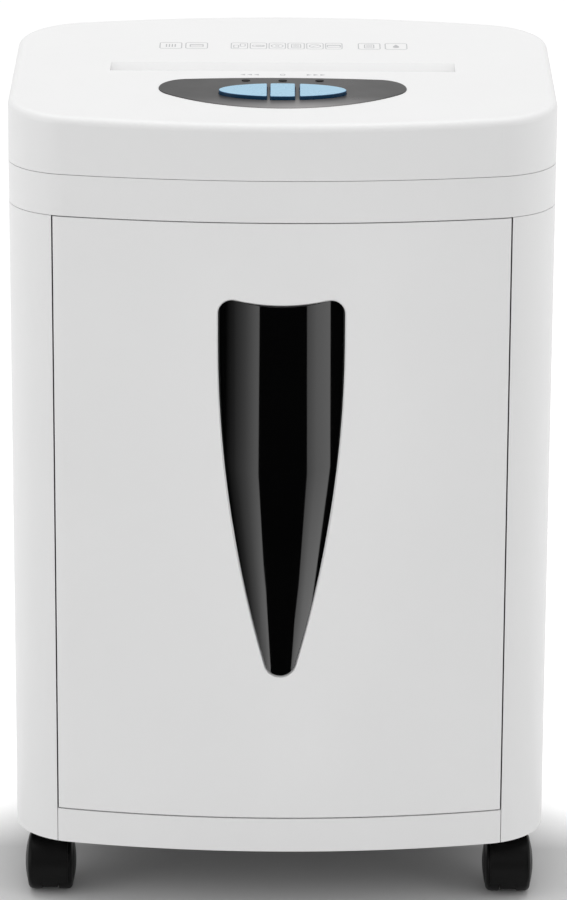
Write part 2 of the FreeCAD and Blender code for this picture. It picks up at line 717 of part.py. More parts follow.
def caster_hood():
    """Cover over the inner part of both treads, the web between them and the boss for the stem."""
    inner = WHEEL_RADIUS + HOOD_WHEEL_GAP
    outer = inner + HOOD_THICKNESS
    top = GROUND_CLEARANCE - HOOD_TOP_GAP - WHEEL_RADIUS
    shell = hood_sector(outer, HOOD_WIDTH).cut(along_x(inner, -BIG, BIG, 0, 0))
    web = along_x(outer, -CASTER_WEB / 2, CASTER_WEB / 2, 0, 0)
    web = web.cut(box(-BIG, BIG, -BIG, BIG, -BIG, HOOD_WEB_CLEARANCE - WHEEL_RADIUS))
    boss = along_z(HOOD_BOSS_RADIUS, top - STEM_IN_HOOD, top, 0, CASTER_TRAIL)
    hood = join([shell, web, boss])
    hood = hood.common(box(-BIG, BIG, -BIG, BIG, -BIG, top))
    bore = CASTER_STEM_RADIUS + RUNNING_CLEARANCE
    hood = hood.cut(along_z(bore, top - STEM_IN_HOOD + 2.0, BIG, 0, CASTER_TRAIL))
    return hood.cut(along_x(CASTER_AXLE_RADIUS + FIT_CLEARANCE / 2, -BIG, BIG, 0, 0))


def caster_axle():
    """Axle through the web, carrying one wheel on each side."""
    half = CASTER_WEB / 2 + RUNNING_CLEARANCE * 6 + WHEEL_TREAD - 1.0
    return along_x(CASTER_AXLE_RADIUS, -half, half, 0, 0)


def caster_wheel():
    """Right-hand wheel: tread with rounded edges, domed outer face and a blind bore."""
    x0 = CASTER_WEB / 2 + RUNNING_CLEARANCE * 6
    x1 = x0 + WHEEL_TREAD
    wheel = along_x(WHEEL_RADIUS, x0, x1, 0, 0)
    rims = [e for e in wheel.Edges if e.Closed and e.BoundBox.XMin > x0 + 1]
    wheel = wheel.makeFillet(WHEEL_EDGE_RADIUS, rims)
    inner_rims = [e for e in wheel.Edges if e.Closed and e.BoundBox.XMax < x0 + 0.1]
    wheel = wheel.makeFillet(1.0, inner_rims)
    flat = WHEEL_RADIUS - WHEEL_EDGE_RADIUS
    ball = (flat ** 2 + WHEEL_DOME ** 2) / (2 * WHEEL_DOME)
    dome = Part.makeSphere(ball, vec(x1 + WHEEL_DOME - ball, 0, 0))
    dome = dome.common(along_x(flat, x1 - 1.0, x1 + 2 * WHEEL_DOME, 0, 0))
    groove = along_x(flat - 3.0, x1 - 0.6, BIG, 0, 0).cut(along_x(flat - 3.8, 0, BIG, 0, 0))
    wheel = join([wheel, dome]).cut(groove)
    bore = CASTER_AXLE_RADIUS + RUNNING_CLEARANCE
    return wheel.cut(along_x(bore, 0, x1 - 0.9, 0, 0))


def caster_stems():
    """Swivel pins pressed up into the base plate."""
    solids = []
    hood_top = GROUND_CLEARANCE - HOOD_TOP_GAP
    bottom = hood_top - STEM_IN_HOOD + 2.0 + BODY_CLEARANCE
    for x, y, side in caster_places():
        solids.append(along_z(CASTER_STEM_RADIUS, bottom, BASE_TOP + CASTER_SOCKET_HEIGHT - 3.5, x, y))
    return group(solids)


# ---------------------------------------------------------------- cutting head shells


def inlet_level():
    return CABINET_TOP + SHELL_SEAM + (HOUSING_HEIGHT - SHELL_SEAM) / 2


def inlet_body(grow, y0, y1):
    """Rounded block of the mains inlet."""
    z = inlet_level()
    block = box(INLET_X - INLET_WIDTH / 2 - grow, INLET_X + INLET_WIDTH / 2 + grow, y0, y1,
                z - INLET_HEIGHT / 2 - grow, z + INLET_HEIGHT / 2 + grow)
    along_y = [e for e in block.Edges if abs(e.BoundBox.YLength - (y1 - y0)) < 0.01]
    return block.makeFillet(INLET_CORNER + grow, along_y)


def lower_housing():
    """White band under the cover: wall, floor with the shred outlet, and a lip for the cover."""
    bottom = CABINET_TOP + SHELL_SEAM
    top = HOUSING_TOP - SHELL_SEAM / 2
    wall = shell_ring(0, COVER_WALL, bottom, top)
    floor = plan_prism(COVER_WALL / 2, CABINET_TOP, CABINET_TOP + HOUSING_FLOOR)
    lip = shell_ring(COVER_WALL + FIT_CLEARANCE, LIP_WALL, CABINET_TOP + HOUSING_FLOOR, top + LIP_HEIGHT)
    solids = [wall, floor, lip, shell_ring(COVER_WALL - 1.0, LIP_WALL, bottom, top)]
    for x, y in cover_screw_places():
        solids.append(along_z(HEAD_BOSS_RADIUS, CABINET_TOP, CABINET_TOP + COVER_BOSS_HEIGHT, x, y))
    housing = join(solids)
    housing = housing.cut(outlet_cut(0, BIG))
    for x, y in head_screw_places():
        housing = housing.cut(along_z(SCREW_RADIUS + FIT_CLEARANCE, 0, CABINET_TOP + HOUSING_FLOOR, x, y))
    for x, y in cover_screw_places():
        housing = housing.cut(along_z(SCREW_RADIUS + FIT_CLEARANCE, 0, BIG, x, y))
        recess = SCREW_HEAD_RADIUS + FIT_CLEARANCE
        housing = housing.cut(along_z(recess, 0, CABINET_TOP + SCREW_HEAD_HEIGHT + FIT_CLEARANCE, x, y))
    return housing.cut(inlet_body(FIT_CLEARANCE, 0, BIG))


def cover_screw_places():
    """Four screws that hold the cover down to the housing."""
    x = HALF_WIDTH - CORNER_RADIUS / 2 - 5.0
    y = HALF_DEPTH - CORNER_RADIUS
    return [(sx * x, sy * y) for sx in (-1, 1) for sy in (-1, 1)]


def housing_screws():
    solids = []
    for x, y in cover_screw_places():
        seat = vec(x, y, CABINET_TOP + SCREW_HEAD_HEIGHT)
        solids.append(screw(seat, vec(0, 0, 1), COVER_BOSS_HEIGHT + 8.0))
    return group(solids)


def funnel_section():
    """Cross-section of the tapered paper entry, on the level drawing plane."""
    return [
        (SLOT_Y - FUNNEL_WIDTH / 2, 1.0),
        (SLOT_Y - FUNNEL_WIDTH / 2, 0.0),
        (SLOT_Y - SLOT_WIDTH / 2, -FUNNEL_DEPTH),
        (SLOT_Y - SLOT_WIDTH / 2, -THROAT_DEPTH - 5.0),
        (SLOT_Y + SLOT_WIDTH / 2, -THROAT_DEPTH - 5.0),
        (SLOT_Y + SLOT_WIDTH / 2, -FUNNEL_DEPTH),
        (SLOT_Y + FUNNEL_WIDTH / 2, 0.0),
        (SLOT_Y + FUNNEL_WIDTH / 2, 1.0),
    ]


def throat_level():
    """Lowest level of the cover's throat at the slot."""
    return TOP_CENTRE + SLOT_Y * math.sin(SLOPE) - THROAT_DEPTH * math.cos(SLOPE) - 1.0


def top_cover():
    """Sloping lid with a softened edge, the paper entry and the recess for the bezel."""
    bottom = HOUSING_TOP + SHELL_SEAM / 2
    outer = plan_prism(0, bottom, TOP_REAR + 5).common(below_slope(0))
    rim = [e for e in outer.Edges if e.BoundBox.ZMin > bottom + 10 and not is_upright(e)]
    outer = outer.makeFillet(TOP_EDGE_RADIUS, rim)
    inner = plan_prism(COVER_WALL, bottom - 1, TOP_REAR + 5).common(below_slope(COVER_WALL))
    inner_rim = [e for e in inner.Edges if e.BoundBox.ZMin > bottom + 10 and not is_upright(e)]
    inner = inner.makeFillet(TOP_EDGE_RADIUS - COVER_WALL, inner_rim)
    cover = outer.cut(inner)
    half = SLOT_LENGTH / 2 + COVER_WALL
    reach = FUNNEL_WIDTH / 2 + COVER_WALL
    throat = box(-half, half, SLOT_Y - reach, SLOT_Y + reach, -THROAT_DEPTH, -COVER_WALL / 2)
    solids = [cover, on_slope(throat)]
    for x, y in cover_screw_places():
        boss = along_z(HEAD_BOSS_RADIUS, CABINET_TOP + COVER_BOSS_HEIGHT + FIT_CLEARANCE, TOP_REAR, x, y)
        solids.append(boss.common(below_slope(COVER_WALL / 2)))
    cover = join(solids)
    for x, y in cover_screw_places():
        hole_top = CABINET_TOP + COVER_BOSS_HEIGHT + SCREW_LENGTH
        cover = cover.cut(along_z(SCREW_RADIUS + FIT_CLEARANCE, 0, hole_top, x, y))
    cover = cover.cut(on_slope(yz_prism(funnel_section(), -SLOT_LENGTH / 2, SLOT_LENGTH / 2)))
    recess = bezel_prism(FIT_CLEARANCE, BEZEL_PROUD - BEZEL_THICKNESS, 5.0)
    opening = bezel_prism(-4.0, -COVER_WALL - 5.0, 0.0)
    return cover.cut(on_slope(recess)).cut(on_slope(opening))


# ---------------------------------------------------------------- controls

def bezel_face(grow):
    """Almond outline: flat rear arc, deeper front arc, round ends tangent to both."""
    front_centre = BEZEL_FRONT_Y + BEZEL_FRONT_RADIUS
    rear_centre = BEZEL_REAR_Y - BEZEL_REAR_RADIUS
    front_reach = BEZEL_FRONT_RADIUS - BEZEL_END_RADIUS
    rear_reach = BEZEL_REAR_RADIUS - BEZEL_END_RADIUS
    gap = rear_centre - front_centre
    end_y = (front_reach ** 2 - rear_reach ** 2 - front_centre ** 2 + rear_centre ** 2) / (2 * gap)
    end_x = math.sqrt(front_reach ** 2 - (end_y - front_centre) ** 2)
    front_lean = math.degrees(math.atan2(end_x, front_centre - end_y))
    rear_lean = math.degrees(math.atan2(end_x, end_y - rear_centre))
    end = BEZEL_END_RADIUS + grow
    edges = [
        arc_edge(0, front_centre, BEZEL_FRONT_RADIUS + grow, -90 - front_lean, -90 + front_lean),
        arc_edge(end_x, end_y, end, -90 + front_lean, 90 - rear_lean),
        arc_edge(0, rear_centre, BEZEL_REAR_RADIUS + grow, 90 - rear_lean, 90 + rear_lean),
        arc_edge(-end_x, end_y, end, 90 + rear_lean, 270 - front_lean),
    ]
    return edges_to_face(edges)


def bezel_prism(grow, w0, w1):
    face = bezel_face(grow)
    face.translate(vec(0, 0, w0))
    return face.extrude(vec(0, 0, w1 - w0))


def button_prism(index, grow, w0, w1):
    """One of the three parts of the oval button cluster, as an upright block."""
    long_axis = BUTTON_HALF_LENGTH + grow
    short_axis = BUTTON_HALF_DEPTH + grow
    ellipse = Part.Ellipse(vec(0, BUTTON_Y, w0), long_axis, short_axis)
    face = Part.Face(Part.Wire([ellipse.toShape()]))
    x0, x1 = BUTTON_EDGES[index]
    block = face.extrude(vec(0, 0, w1 - w0))
    return block.common(box(x0 - grow, x1 + grow, -BIG, BIG, w0, w1))


def control_bezel():
    """Dark inlay with an opening for each button and each indicator."""
    plate = bezel_prism(0, BEZEL_PROUD - BEZEL_THICKNESS + 0.05, BEZEL_PROUD)
    top_rim = [e for e in plate.Edges if e.BoundBox.ZMin > BEZEL_PROUD - 0.01]
    plate = plate.makeFillet(BEZEL_PROUD * 0.8, top_rim)
    for index in range(len(BUTTON_EDGES)):
        plate = plate.cut(button_prism(index, BUTTON_CLEARANCE, -BIG, BIG))
    for x in lens_places():
        plate = plate.cut(lens_body(x, FIT_CLEARANCE, -5.0, 5.0))
    return on_slope(plate)


def button(index):
    """Cap, guided skirt, a lip that keeps it in, and the foot that presses the switch."""
    cap = button_prism(index, 0, BEZEL_PROUD - BUTTON_SKIRT, BEZEL_PROUD + BUTTON_PROUD)
    cap = cap.makeFillet(BUTTON_CORNER_RADIUS, [e for e in cap.Edges if is_corner(e)])
    top_rim = [e for e in cap.Edges if e.BoundBox.ZMin > BEZEL_PROUD + BUTTON_PROUD - 0.01]
    cap = cap.makeFillet(BUTTON_EDGE_RADIUS, top_rim)
    lip_top = BEZEL_PROUD - BEZEL_THICKNESS - BUTTON_CLEARANCE
    lip = button_prism(index, BUTTON_LIP, BEZEL_PROUD - BUTTON_SKIRT, lip_top)
    x = button_centre(index)
    foot = along_z(2.0, BEZEL_PROUD - BUTTON_SKIRT - 1.0, lip_top, x, BUTTON_Y)
    return on_slope(join([cap, lip, foot]))


def button_centre(index):
    """Middle of a button along X, from its straight edges and the oval's ends."""
    x0, x1 = BUTTON_EDGES[index]
    return (max(x0, -BUTTON_HALF_LENGTH) + min(x1, BUTTON_HALF_LENGTH)) / 2


def lens_places():
    return [-LENS_SPACING, 0.0, LENS_SPACING]


def lens_body(x, grow, w0, w1):
    """Small oval indicator window."""
    y = BEZEL_REAR_Y - LENS_FROM_REAR_EDGE
    ellipse = Part.Ellipse(vec(x, y, w0), LENS_HALF_LENGTH + grow, LENS_HALF_DEPTH + grow)
    return Part.Face(Part.Wire([ellipse.toShape()])).extrude(vec(0, 0, w1 - w0))


def indicator_lenses():
    shapes = [lens_body(x, 0, BEZEL_PROUD - BUTTON_SKIRT, BEZEL_PROUD + LENS_PROUD) for x in lens_places()]
    return on_slope(group(shapes))


def switch_top():
    """Level of the top of a tact switch's plunger, on the level drawing plane."""
    return BEZEL_PROUD - BUTTON_SKIRT - 1.0 - BUTTON_TRAVEL - BODY_CLEARANCE / 2


def tact_switches():
    solids = []
    top = switch_top()
    for index in range(len(BUTTON_EDGES)):
        x = button_centre(index)
        body = box(x - 3, x + 3, BUTTON_Y - 3, BUTTON_Y + 3, top - TACT_HEIGHT, top - 1.0)
        solids.append(body.fuse(along_z(1.6, top - TACT_HEIGHT, top, x, BUTTON_Y)))
    return on_slope(group(solids))


def control_board():
    """Circuit board under the bezel with two mounting holes."""
    top = switch_top() - TACT_HEIGHT
    y0 = BUTTON_Y - BUTTON_HALF_DEPTH
    y1 = BEZEL_REAR_Y - 2.0
    board = box(-BUTTON_HALF_LENGTH - 8, BUTTON_HALF_LENGTH + 8, y0, y1, top - 1.6, top)
    for side in (-1, 1):
        board = board.cut(along_z(1.6, top - 5, top + 5, side * (BUTTON_HALF_LENGTH + 4), BUTTON_Y))
    return on_slope(board)


# ---------------------------------------------------------------- paper path and cutters


def paper_guide():
    """Two plates between the cutter frames that lead paper from the throat to the nip."""
    top = throat_level() - GUIDE_TOP_GAP
    plate_to_axis = CUTTER_SPACING / 2 - SLOT_WIDTH / 2 - GUIDE_WALL
    bottom = CUTTER_Z + math.sqrt(DISC_RADIUS ** 2 - plate_to_axis ** 2) + 1.5
    half = FRAME_INNER - FIT_CLEARANCE
    inner = SLOT_WIDTH / 2
    front = box(-half, half, SLOT_Y - inner - GUIDE_WALL, SLOT_Y - inner, bottom, top)
    rear = box(-half, half, SLOT_Y + inner, SLOT_Y + inner + GUIDE_WALL, bottom, top)
    low, high = sensor_levels()
    reach = inner + GUIDE_WALL + SENSOR_DEPTH
    window = along_y(SENSOR_BEAM_RADIUS, SLOT_Y - reach, SLOT_Y + reach, 0, (low + high) / 2)
    return group([front.cut(window), rear.cut(window)])


def along_y(radius, y0, y1, x, z):
    """Round bar along Y."""
    return cylinder(radius, y1 - y0, vec(x, y0, z), vec(0, 1, 0))


def sensor_levels():
    """Bottom and top of the light gate, between the discs and the throat."""
    return CUTTER_Z + DISC_RADIUS + BODY_CLEARANCE, throat_level() - SENSOR_BELOW_THROAT


def paper_sensors():
    """Light gate: emitter and receiver outside the guide, facing each other."""
    inner = SLOT_WIDTH / 2 + GUIDE_WALL + FIT_CLEARANCE
    low, high = sensor_levels()
    half = SENSOR_WIDTH / 2
    front = box(-half, half, SLOT_Y - inner - SENSOR_DEPTH, SLOT_Y - inner, low, high)
    rear = box(-half, half, SLOT_Y + inner, SLOT_Y + inner + SENSOR_DEPTH, low, high)
    return group([front, rear])


def disc_places(offset):
    """Middle of every disc along the shaft; the other shaft's discs sit half a pitch over."""
    first = -(DISC_COUNT - 1) / 2 * DISC_PITCH + offset
    return [first + i * DISC_PITCH for i in range(DISC_COUNT)]


def hook_disc(x, y, z, turn):
    """Cutting disc with hooked teeth round its rim."""
    points = []
    for i in range(HOOK_COUNT):
        for share, radius in ((0.0, DISC_RADIUS), (0.04, DISC_RADIUS - HOOK_DEPTH), (0.22, DISC_RADIUS - 0.4),
                              (0.48, DISC_RADIUS), (0.74, DISC_RADIUS)):
            angle = math.radians(turn + (i + share) * 360.0 / HOOK_COUNT)
            points.append((y + radius * math.cos(angle), z + radius * math.sin(angle)))
    return yz_prism(points, x - DISC_THICKNESS / 2, x + DISC_THICKNESS / 2)


def cutter(y, offset, left_end, right_end):
    """One-piece cutter: core, journals and a row of hooked discs, each turned a little more."""
    core_half = FRAME_INNER - 0.4
    solids = [along_x(CORE_RADIUS, -core_half, core_half, y, CUTTER_Z)]
    for i, x in enumerate(disc_places(offset)):
        solids.append(hook_disc(x, y, CUTTER_Z, i * 17.0))
    solids.append(along_x(JOURNAL_RADIUS, -left_end, right_end, y, CUTTER_Z))
    return join(solids)


def journal_end(stages):
    return FRAME_OUTER + BUSH_FLANGE + stages + 1.0


def sync_x0():
    """Inner face of the synchronising gears."""
    return FRAME_OUTER + BUSH_FLANGE + 0.5


def front_cutter():
    return cutter(FRONT_CUTTER_Y, DISC_PITCH / 4, journal_end(0), sync_x0() + SYNC_WIDTH + 1.0)


def rear_cutter():
    return cutter(REAR_CUTTER_Y, -DISC_PITCH / 4, drive_x0() + GEAR_WIDTH + 1.0, sync_x0() + SYNC_WIDTH + 1.0)


def cutter_bushes():
    """Flanged bushes pressed into the frames."""
    solids = []
    for y in (FRONT_CUTTER_Y, REAR_CUTTER_Y):
        body = along_x(BUSH_RADIUS, FRAME_INNER, FRAME_OUTER, y, CUTTER_Z)
        flange = along_x(BUSH_RADIUS + 2.0, FRAME_OUTER, FRAME_OUTER + BUSH_FLANGE, y, CUTTER_Z)
        bush = body.fuse(flange).cut(along_x(JOURNAL_RADIUS + RUNNING_CLEARANCE, 0, BIG, y, CUTTER_Z))
        solids.append(bush)
        solids.append(mirror_x(bush))
    return group(solids)


def tie_rod_places():
    """Y, Z of the rods that hold the two frames apart."""
    y0 = FRONT_CUTTER_Y - FRAME_FRONT + TIE_ROD_RADIUS + 1.5
    y1 = REAR_CUTTER_Y + FRAME_REAR - TIE_ROD_RADIUS - 1.5
    return [(y0, CUTTER_Z + FRAME_MARGIN), (y0, CUTTER_Z - FRAME_MARGIN),
            (y1, CUTTER_Z + FRAME_MARGIN), (y1, CUTTER_Z - FRAME_MARGIN)]


def frame_plate(rear_reach, extra):
    """Bearing plate standing on the housing floor, with holes for bushes and tie rods."""
    y0 = FRONT_CUTTER_Y - FRAME_FRONT
    low = CABINET_TOP + HOUSING_FLOOR + FIT_CLEARANCE
    high = CUTTER_Z + DISC_RADIUS + 4.0
    plate = join([box(FRAME_INNER, FRAME_OUTER, y0, rear_reach, low, high)] + extra)
    for y in (FRONT_CUTTER_Y, REAR_CUTTER_Y):
        plate = plate.cut(along_x(BUSH_RADIUS + FIT_CLEARANCE, 0, BIG, y, CUTTER_Z))
    for y, z in tie_rod_places():
        plate = plate.cut(along_x(TIE_ROD_RADIUS - 1.0 + FIT_CLEARANCE, 0, BIG, y, z))
    return plate


def cutter_frame_right():
    return frame_plate(REAR_CUTTER_Y + FRAME_REAR, [])


def cutter_frame_left():
    """Longer plate that also carries the motor and the intermediate gear."""
    upper = box(FRAME_INNER, FRAME_OUTER, REAR_CUTTER_Y + BUSH_RADIUS + 6, MOTOR_Y + MOTOR_RADIUS,
                CUTTER_Z, SPINDLE_Z + 8.0)
    plate = frame_plate(MOTOR_Y + MOTOR_RADIUS, [upper])
    plate = plate.cut(along_x(MOTOR_SHAFT_RADIUS + 3.0, 0, BIG, MOTOR_Y, MOTOR_Z))
    plate = plate.cut(along_x(SPINDLE_RADIUS + FIT_CLEARANCE, 0, BIG, SPINDLE_Y, SPINDLE_Z))
    return mirror_x(plate)


def tie_rods():
    """Shouldered rods: the thin ends pass through the frames."""
    solids = []
    for y, z in tie_rod_places():
        body = along_x(TIE_ROD_RADIUS, -FRAME_INNER + FIT_CLEARANCE, FRAME_INNER - FIT_CLEARANCE, y, z)
        end = along_x(TIE_ROD_RADIUS - 1.0, -FRAME_OUTER - 2.0, FRAME_OUTER + 2.0, y, z)
        solids.append(join([body, end]))
    return group(solids)


def stripper_comb(y, offset, side):
    """Bar with a finger in every gap between the discs of one cutter."""
    inner = CORE_RADIUS + COMB_RUN / 2
    bar_near = y + side * (DISC_RADIUS + COMB_RUN)
    bar_far = bar_near + side * COMB_THICKNESS
    half = FRAME_INNER - FIT_CLEARANCE
    z0 = CUTTER_Z - 5.0
    z1 = CUTTER_Z + 5.0
    solids = [box(-half, half, min(bar_near, bar_far), max(bar_near, bar_far), z0, z1)]
    core = along_x(inner, -BIG / 2, BIG / 2, y, CUTTER_Z)
    near = y + side * (inner - 2.0)
    for x in disc_places(offset)[:-1]:
        middle = x + DISC_PITCH / 2
        finger = box(middle - FINGER_THICKNESS / 2, middle + FINGER_THICKNESS / 2,
                     min(near, bar_far), max(near, bar_far), z0 + 1, z1 - 1)
        solids.append(finger.cut(core))
    return join(solids)


# ---------------------------------------------------------------- drive

def big_x0():
    """Inner face of the first gear stage, next to the left frame."""
    return FRAME_OUTER + BUSH_FLANGE + GEAR_STAGE_GAP


def drive_x0():
    """Inner face of the second gear stage."""
    return big_x0() + GEAR_WIDTH + GEAR_STAGE_GAP


def gear(teeth, module, y, z, first_tooth, x0, width):
    """Spur gear with involute flanks; first_tooth is the direction of one tooth, in radians."""
    pitch = teeth * module / 2
    base = pitch * math.cos(math.radians(PRESSURE_ANGLE))
    tip = pitch + ADDENDUM * module
    root = pitch - DEDENDUM * module
    half_at_pitch = (math.pi * module / 2 - BACKLASH) / (2 * pitch)

    def half_angle(radius):
        """Half the tooth's angular thickness at a radius."""
        bare = max(radius, base)
        roll = math.sqrt((bare / base) ** 2 - 1)
        pitch_roll = math.tan(math.radians(PRESSURE_ANGLE))
        spread = (roll - math.atan(roll)) - (pitch_roll - math.radians(PRESSURE_ANGLE))
        return half_at_pitch - spread

    radii = [root] + [max(root, base) + (tip - max(root, base)) * i / 4 for i in range(5)]
    points = []
    for i in range(teeth):
        centre = first_tooth + i * 2 * math.pi / teeth
        for radius in radii:
            points.append((radius, centre - half_angle(radius)))
        for radius in reversed(radii):
            points.append((radius, centre + half_angle(radius)))
    outline = []
    for radius, angle in points:
        point = (y + radius * math.cos(angle), z + radius * math.sin(angle))
        if not outline or math.dist(outline[-1], point) > 0.001:
            outline.append(point)
    return yz_prism(outline, x0, x0 + width)


def gap_facing(teeth, line):
    """Direction of a tooth when a gap faces back along a line of centres."""
    return line + math.pi + math.pi / teeth


def sync_gear(y, first_tooth):
    wheel = gear(SYNC_TEETH, SYNC_MODULE, y, CUTTER_Z, first_tooth, sync_x0(), SYNC_WIDTH)
    return wheel.cut(along_x(JOURNAL_RADIUS + RUNNING_CLEARANCE, 0, BIG, y, CUTTER_Z))


def front_sync_gear():
    return sync_gear(FRONT_CUTTER_Y, 0.0)


def rear_sync_gear():
    return sync_gear(REAR_CUTTER_Y, gap_facing(SYNC_TEETH, 0.0))


def drive_gear():
    """Large gear on the rear cutter, with lightening holes."""
    x0 = -drive_x0() - GEAR_WIDTH
    wheel = gear(DRIVE_TEETH, DRIVE_MODULE, REAR_CUTTER_Y, CUTTER_Z, SPINDLE_LINE, x0, GEAR_WIDTH)
    reach = (DRIVE_PITCH + JOURNAL_RADIUS) / 2
    for i in range(5):
        angle = SPINDLE_LINE + i * 2 * math.pi / 5
        y = REAR_CUTTER_Y + reach * math.cos(angle)
        z = CUTTER_Z + reach * math.sin(angle)
        wheel = wheel.cut(along_x(4.0, x0, x0 + GEAR_WIDTH, y, z))
    return wheel.cut(along_x(JOURNAL_RADIUS + RUNNING_CLEARANCE, -BIG / 2, 0, REAR_CUTTER_Y, CUTTER_Z))


def compound_gear():
    """Large first-stage gear and small second-stage gear in one piece."""
    big = gear(BIG_TEETH, MOTOR_MODULE, SPINDLE_Y, SPINDLE_Z, gap_facing(BIG_TEETH, MOTOR_LINE),
               -big_x0() - GEAR_WIDTH, GEAR_WIDTH)
    small = gear(SMALL_TEETH, DRIVE_MODULE, SPINDLE_Y, SPINDLE_Z, gap_facing(SMALL_TEETH, SPINDLE_LINE),
                 -drive_x0() - GEAR_WIDTH, GEAR_WIDTH)
    hub_x0 = -drive_x0() - 1
    hub_x1 = -big_x0() - GEAR_WIDTH + 1
    hub = along_x(SMALL_PITCH - DEDENDUM * DRIVE_MODULE, hub_x0, hub_x1, SPINDLE_Y, SPINDLE_Z)
    wheel = join([big, small, hub])
    return wheel.cut(along_x(SPINDLE_RADIUS + RUNNING_CLEARANCE, -BIG / 2, 0, SPINDLE_Y, SPINDLE_Z))


def gear_spindle():
    """Headed pin that the compound gear runs on."""
    outer = drive_x0() + GEAR_WIDTH + BODY_CLEARANCE
    pin = along_x(SPINDLE_RADIUS, -outer - 1.0, -FRAME_INNER, SPINDLE_Y, SPINDLE_Z)
    head = along_x(SPINDLE_RADIUS + 2.0, -outer - SPINDLE_HEAD, -outer, SPINDLE_Y, SPINDLE_Z)
    return join([pin, head])


def motor_housing():
    """Hollow motor can with end boss and cooling slots."""
    x1 = -FRAME_INNER + FIT_CLEARANCE
    can = along_x(MOTOR_RADIUS, x1, x1 + MOTOR_LENGTH, MOTOR_Y, MOTOR_Z)
    boss = along_x(MOTOR_RADIUS / 3, x1 + MOTOR_LENGTH - 1, x1 + MOTOR_LENGTH + 6, MOTOR_Y, MOTOR_Z)
    can = join([can, boss])
    x2 = x1 + MOTOR_LENGTH
    can = can.cut(along_x(MOTOR_RADIUS - MOTOR_WALL, x1 + MOTOR_WALL, x2 - MOTOR_WALL, MOTOR_Y, MOTOR_Z))
    can = can.cut(along_x(MOTOR_SHAFT_RADIUS + RUNNING_CLEARANCE, x1 - 1, x2 + 3, MOTOR_Y, MOTOR_Z))
    for i in range(6):
        slot = box(x1 + MOTOR_LENGTH * 0.72, x1 + MOTOR_LENGTH * 0.9, MOTOR_Y - 2, MOTOR_Y + 2,
                   MOTOR_Z + ARMATURE_RADIUS, MOTOR_Z + MOTOR_RADIUS + 1)
        slot.rotate(vec(0, MOTOR_Y, MOTOR_Z), vec(1, 0, 0), i * 60.0)
        can = can.cut(slot)
    return can


def motor_shaft():
    """Shaft with the armature inside the can and the pinion outside the frame."""
    x1 = -FRAME_INNER + FIT_CLEARANCE
    pinion_x0 = -big_x0() - GEAR_WIDTH
    shaft = along_x(MOTOR_SHAFT_RADIUS, pinion_x0, x1 + MOTOR_LENGTH + 2, MOTOR_Y, MOTOR_Z)
    start = x1 + (MOTOR_LENGTH - ARMATURE_LENGTH) / 2
    armature = along_x(ARMATURE_RADIUS, start, start + ARMATURE_LENGTH, MOTOR_Y, MOTOR_Z)
    pinion = gear(PINION_TEETH, MOTOR_MODULE, MOTOR_Y, MOTOR_Z, MOTOR_LINE, pinion_x0, GEAR_WIDTH)
    return join([shaft, armature, pinion])


# ---------------------------------------------------------------- electrics


def power_board():
    """Supply board on standoffs with its transformer, relay, capacitors and terminal block."""
    z = CABINET_TOP + HOUSING_HEIGHT + STANDOFF_HEIGHT
    y1 = HALF_DEPTH - BOARD_FROM_REAR
    y0 = y1 - BOARD_DEPTH
    top = z + BOARD_THICKNESS
    solids = [box(BOARD_X0, BOARD_X1, y0, y1, z, top)]
    for x in (BOARD_X0 + 5, BOARD_X1 - 5):
        for y in (y0 + 5, y1 - 5):
            solids.append(along_z(3.0, CABINET_TOP + HOUSING_FLOOR, z, x, y))
    solids.append(box(BOARD_X0 + 12, BOARD_X0 + 34, y0 + 12, y0 + 34, top, top + 18))
    solids.append(box(BOARD_X0 + 40, BOARD_X0 + 58, y0 + 6, y0 + 20, top, top + 14))
    solids.append(box(BOARD_X1 - 26, BOARD_X1 - 12, y0 + 8, y0 + 36, top, top + 10))
    for i in range(2):
        solids.append(along_z(5.0, top, top + 16, BOARD_X0 + 45 + i * 12, y1 - 10))
    return join(solids)


def inlet_socket():
    """Mains inlet let into the rear wall: flange, body and three pins in the cavity."""
    wall_y = -bow_y(INLET_X - INLET_WIDTH / 2 - INLET_LIP, 0) + FIT_CLEARANCE
    face = wall_y + INLET_LIP_THICKNESS
    body = inlet_body(0, face - INLET_DEPTH, face)
    flange = inlet_body(INLET_LIP, wall_y, face)
    cavity = inlet_body(-INLET_WALL, face - INLET_DEPTH + 3, face + 1)
    socket = join([body, flange]).cut(cavity)
    pins = []
    for dx, dz in ((-6.0, -1.5), (0.0, 3.0), (6.0, -1.5)):
        x = INLET_X + dx
        z = inlet_level() + dz
        pins.append(box(x - 1, x + 1, face - INLET_DEPTH + 2, face - 3, z - 2, z + 2))
    return join([socket] + pins)


def interlock_switch():
    """Switch under the deck, behind the top of the drawer front."""
    x = DOOR_HALF * 0.55
    y = bow_y(x, DOOR_RETURN_DEPTH + DOOR_WALL)
    body = box(x - 10, x + 10, y, y + 10, DECK_BOTTOM - 8, DECK_BOTTOM)
    key = box(x + 4, x + 7, y - 1.5, y + 1, DECK_BOTTOM - 6, DECK_BOTTOM - 3)
    return join([body, key])


# ---------------------------------------------------------------- all parts

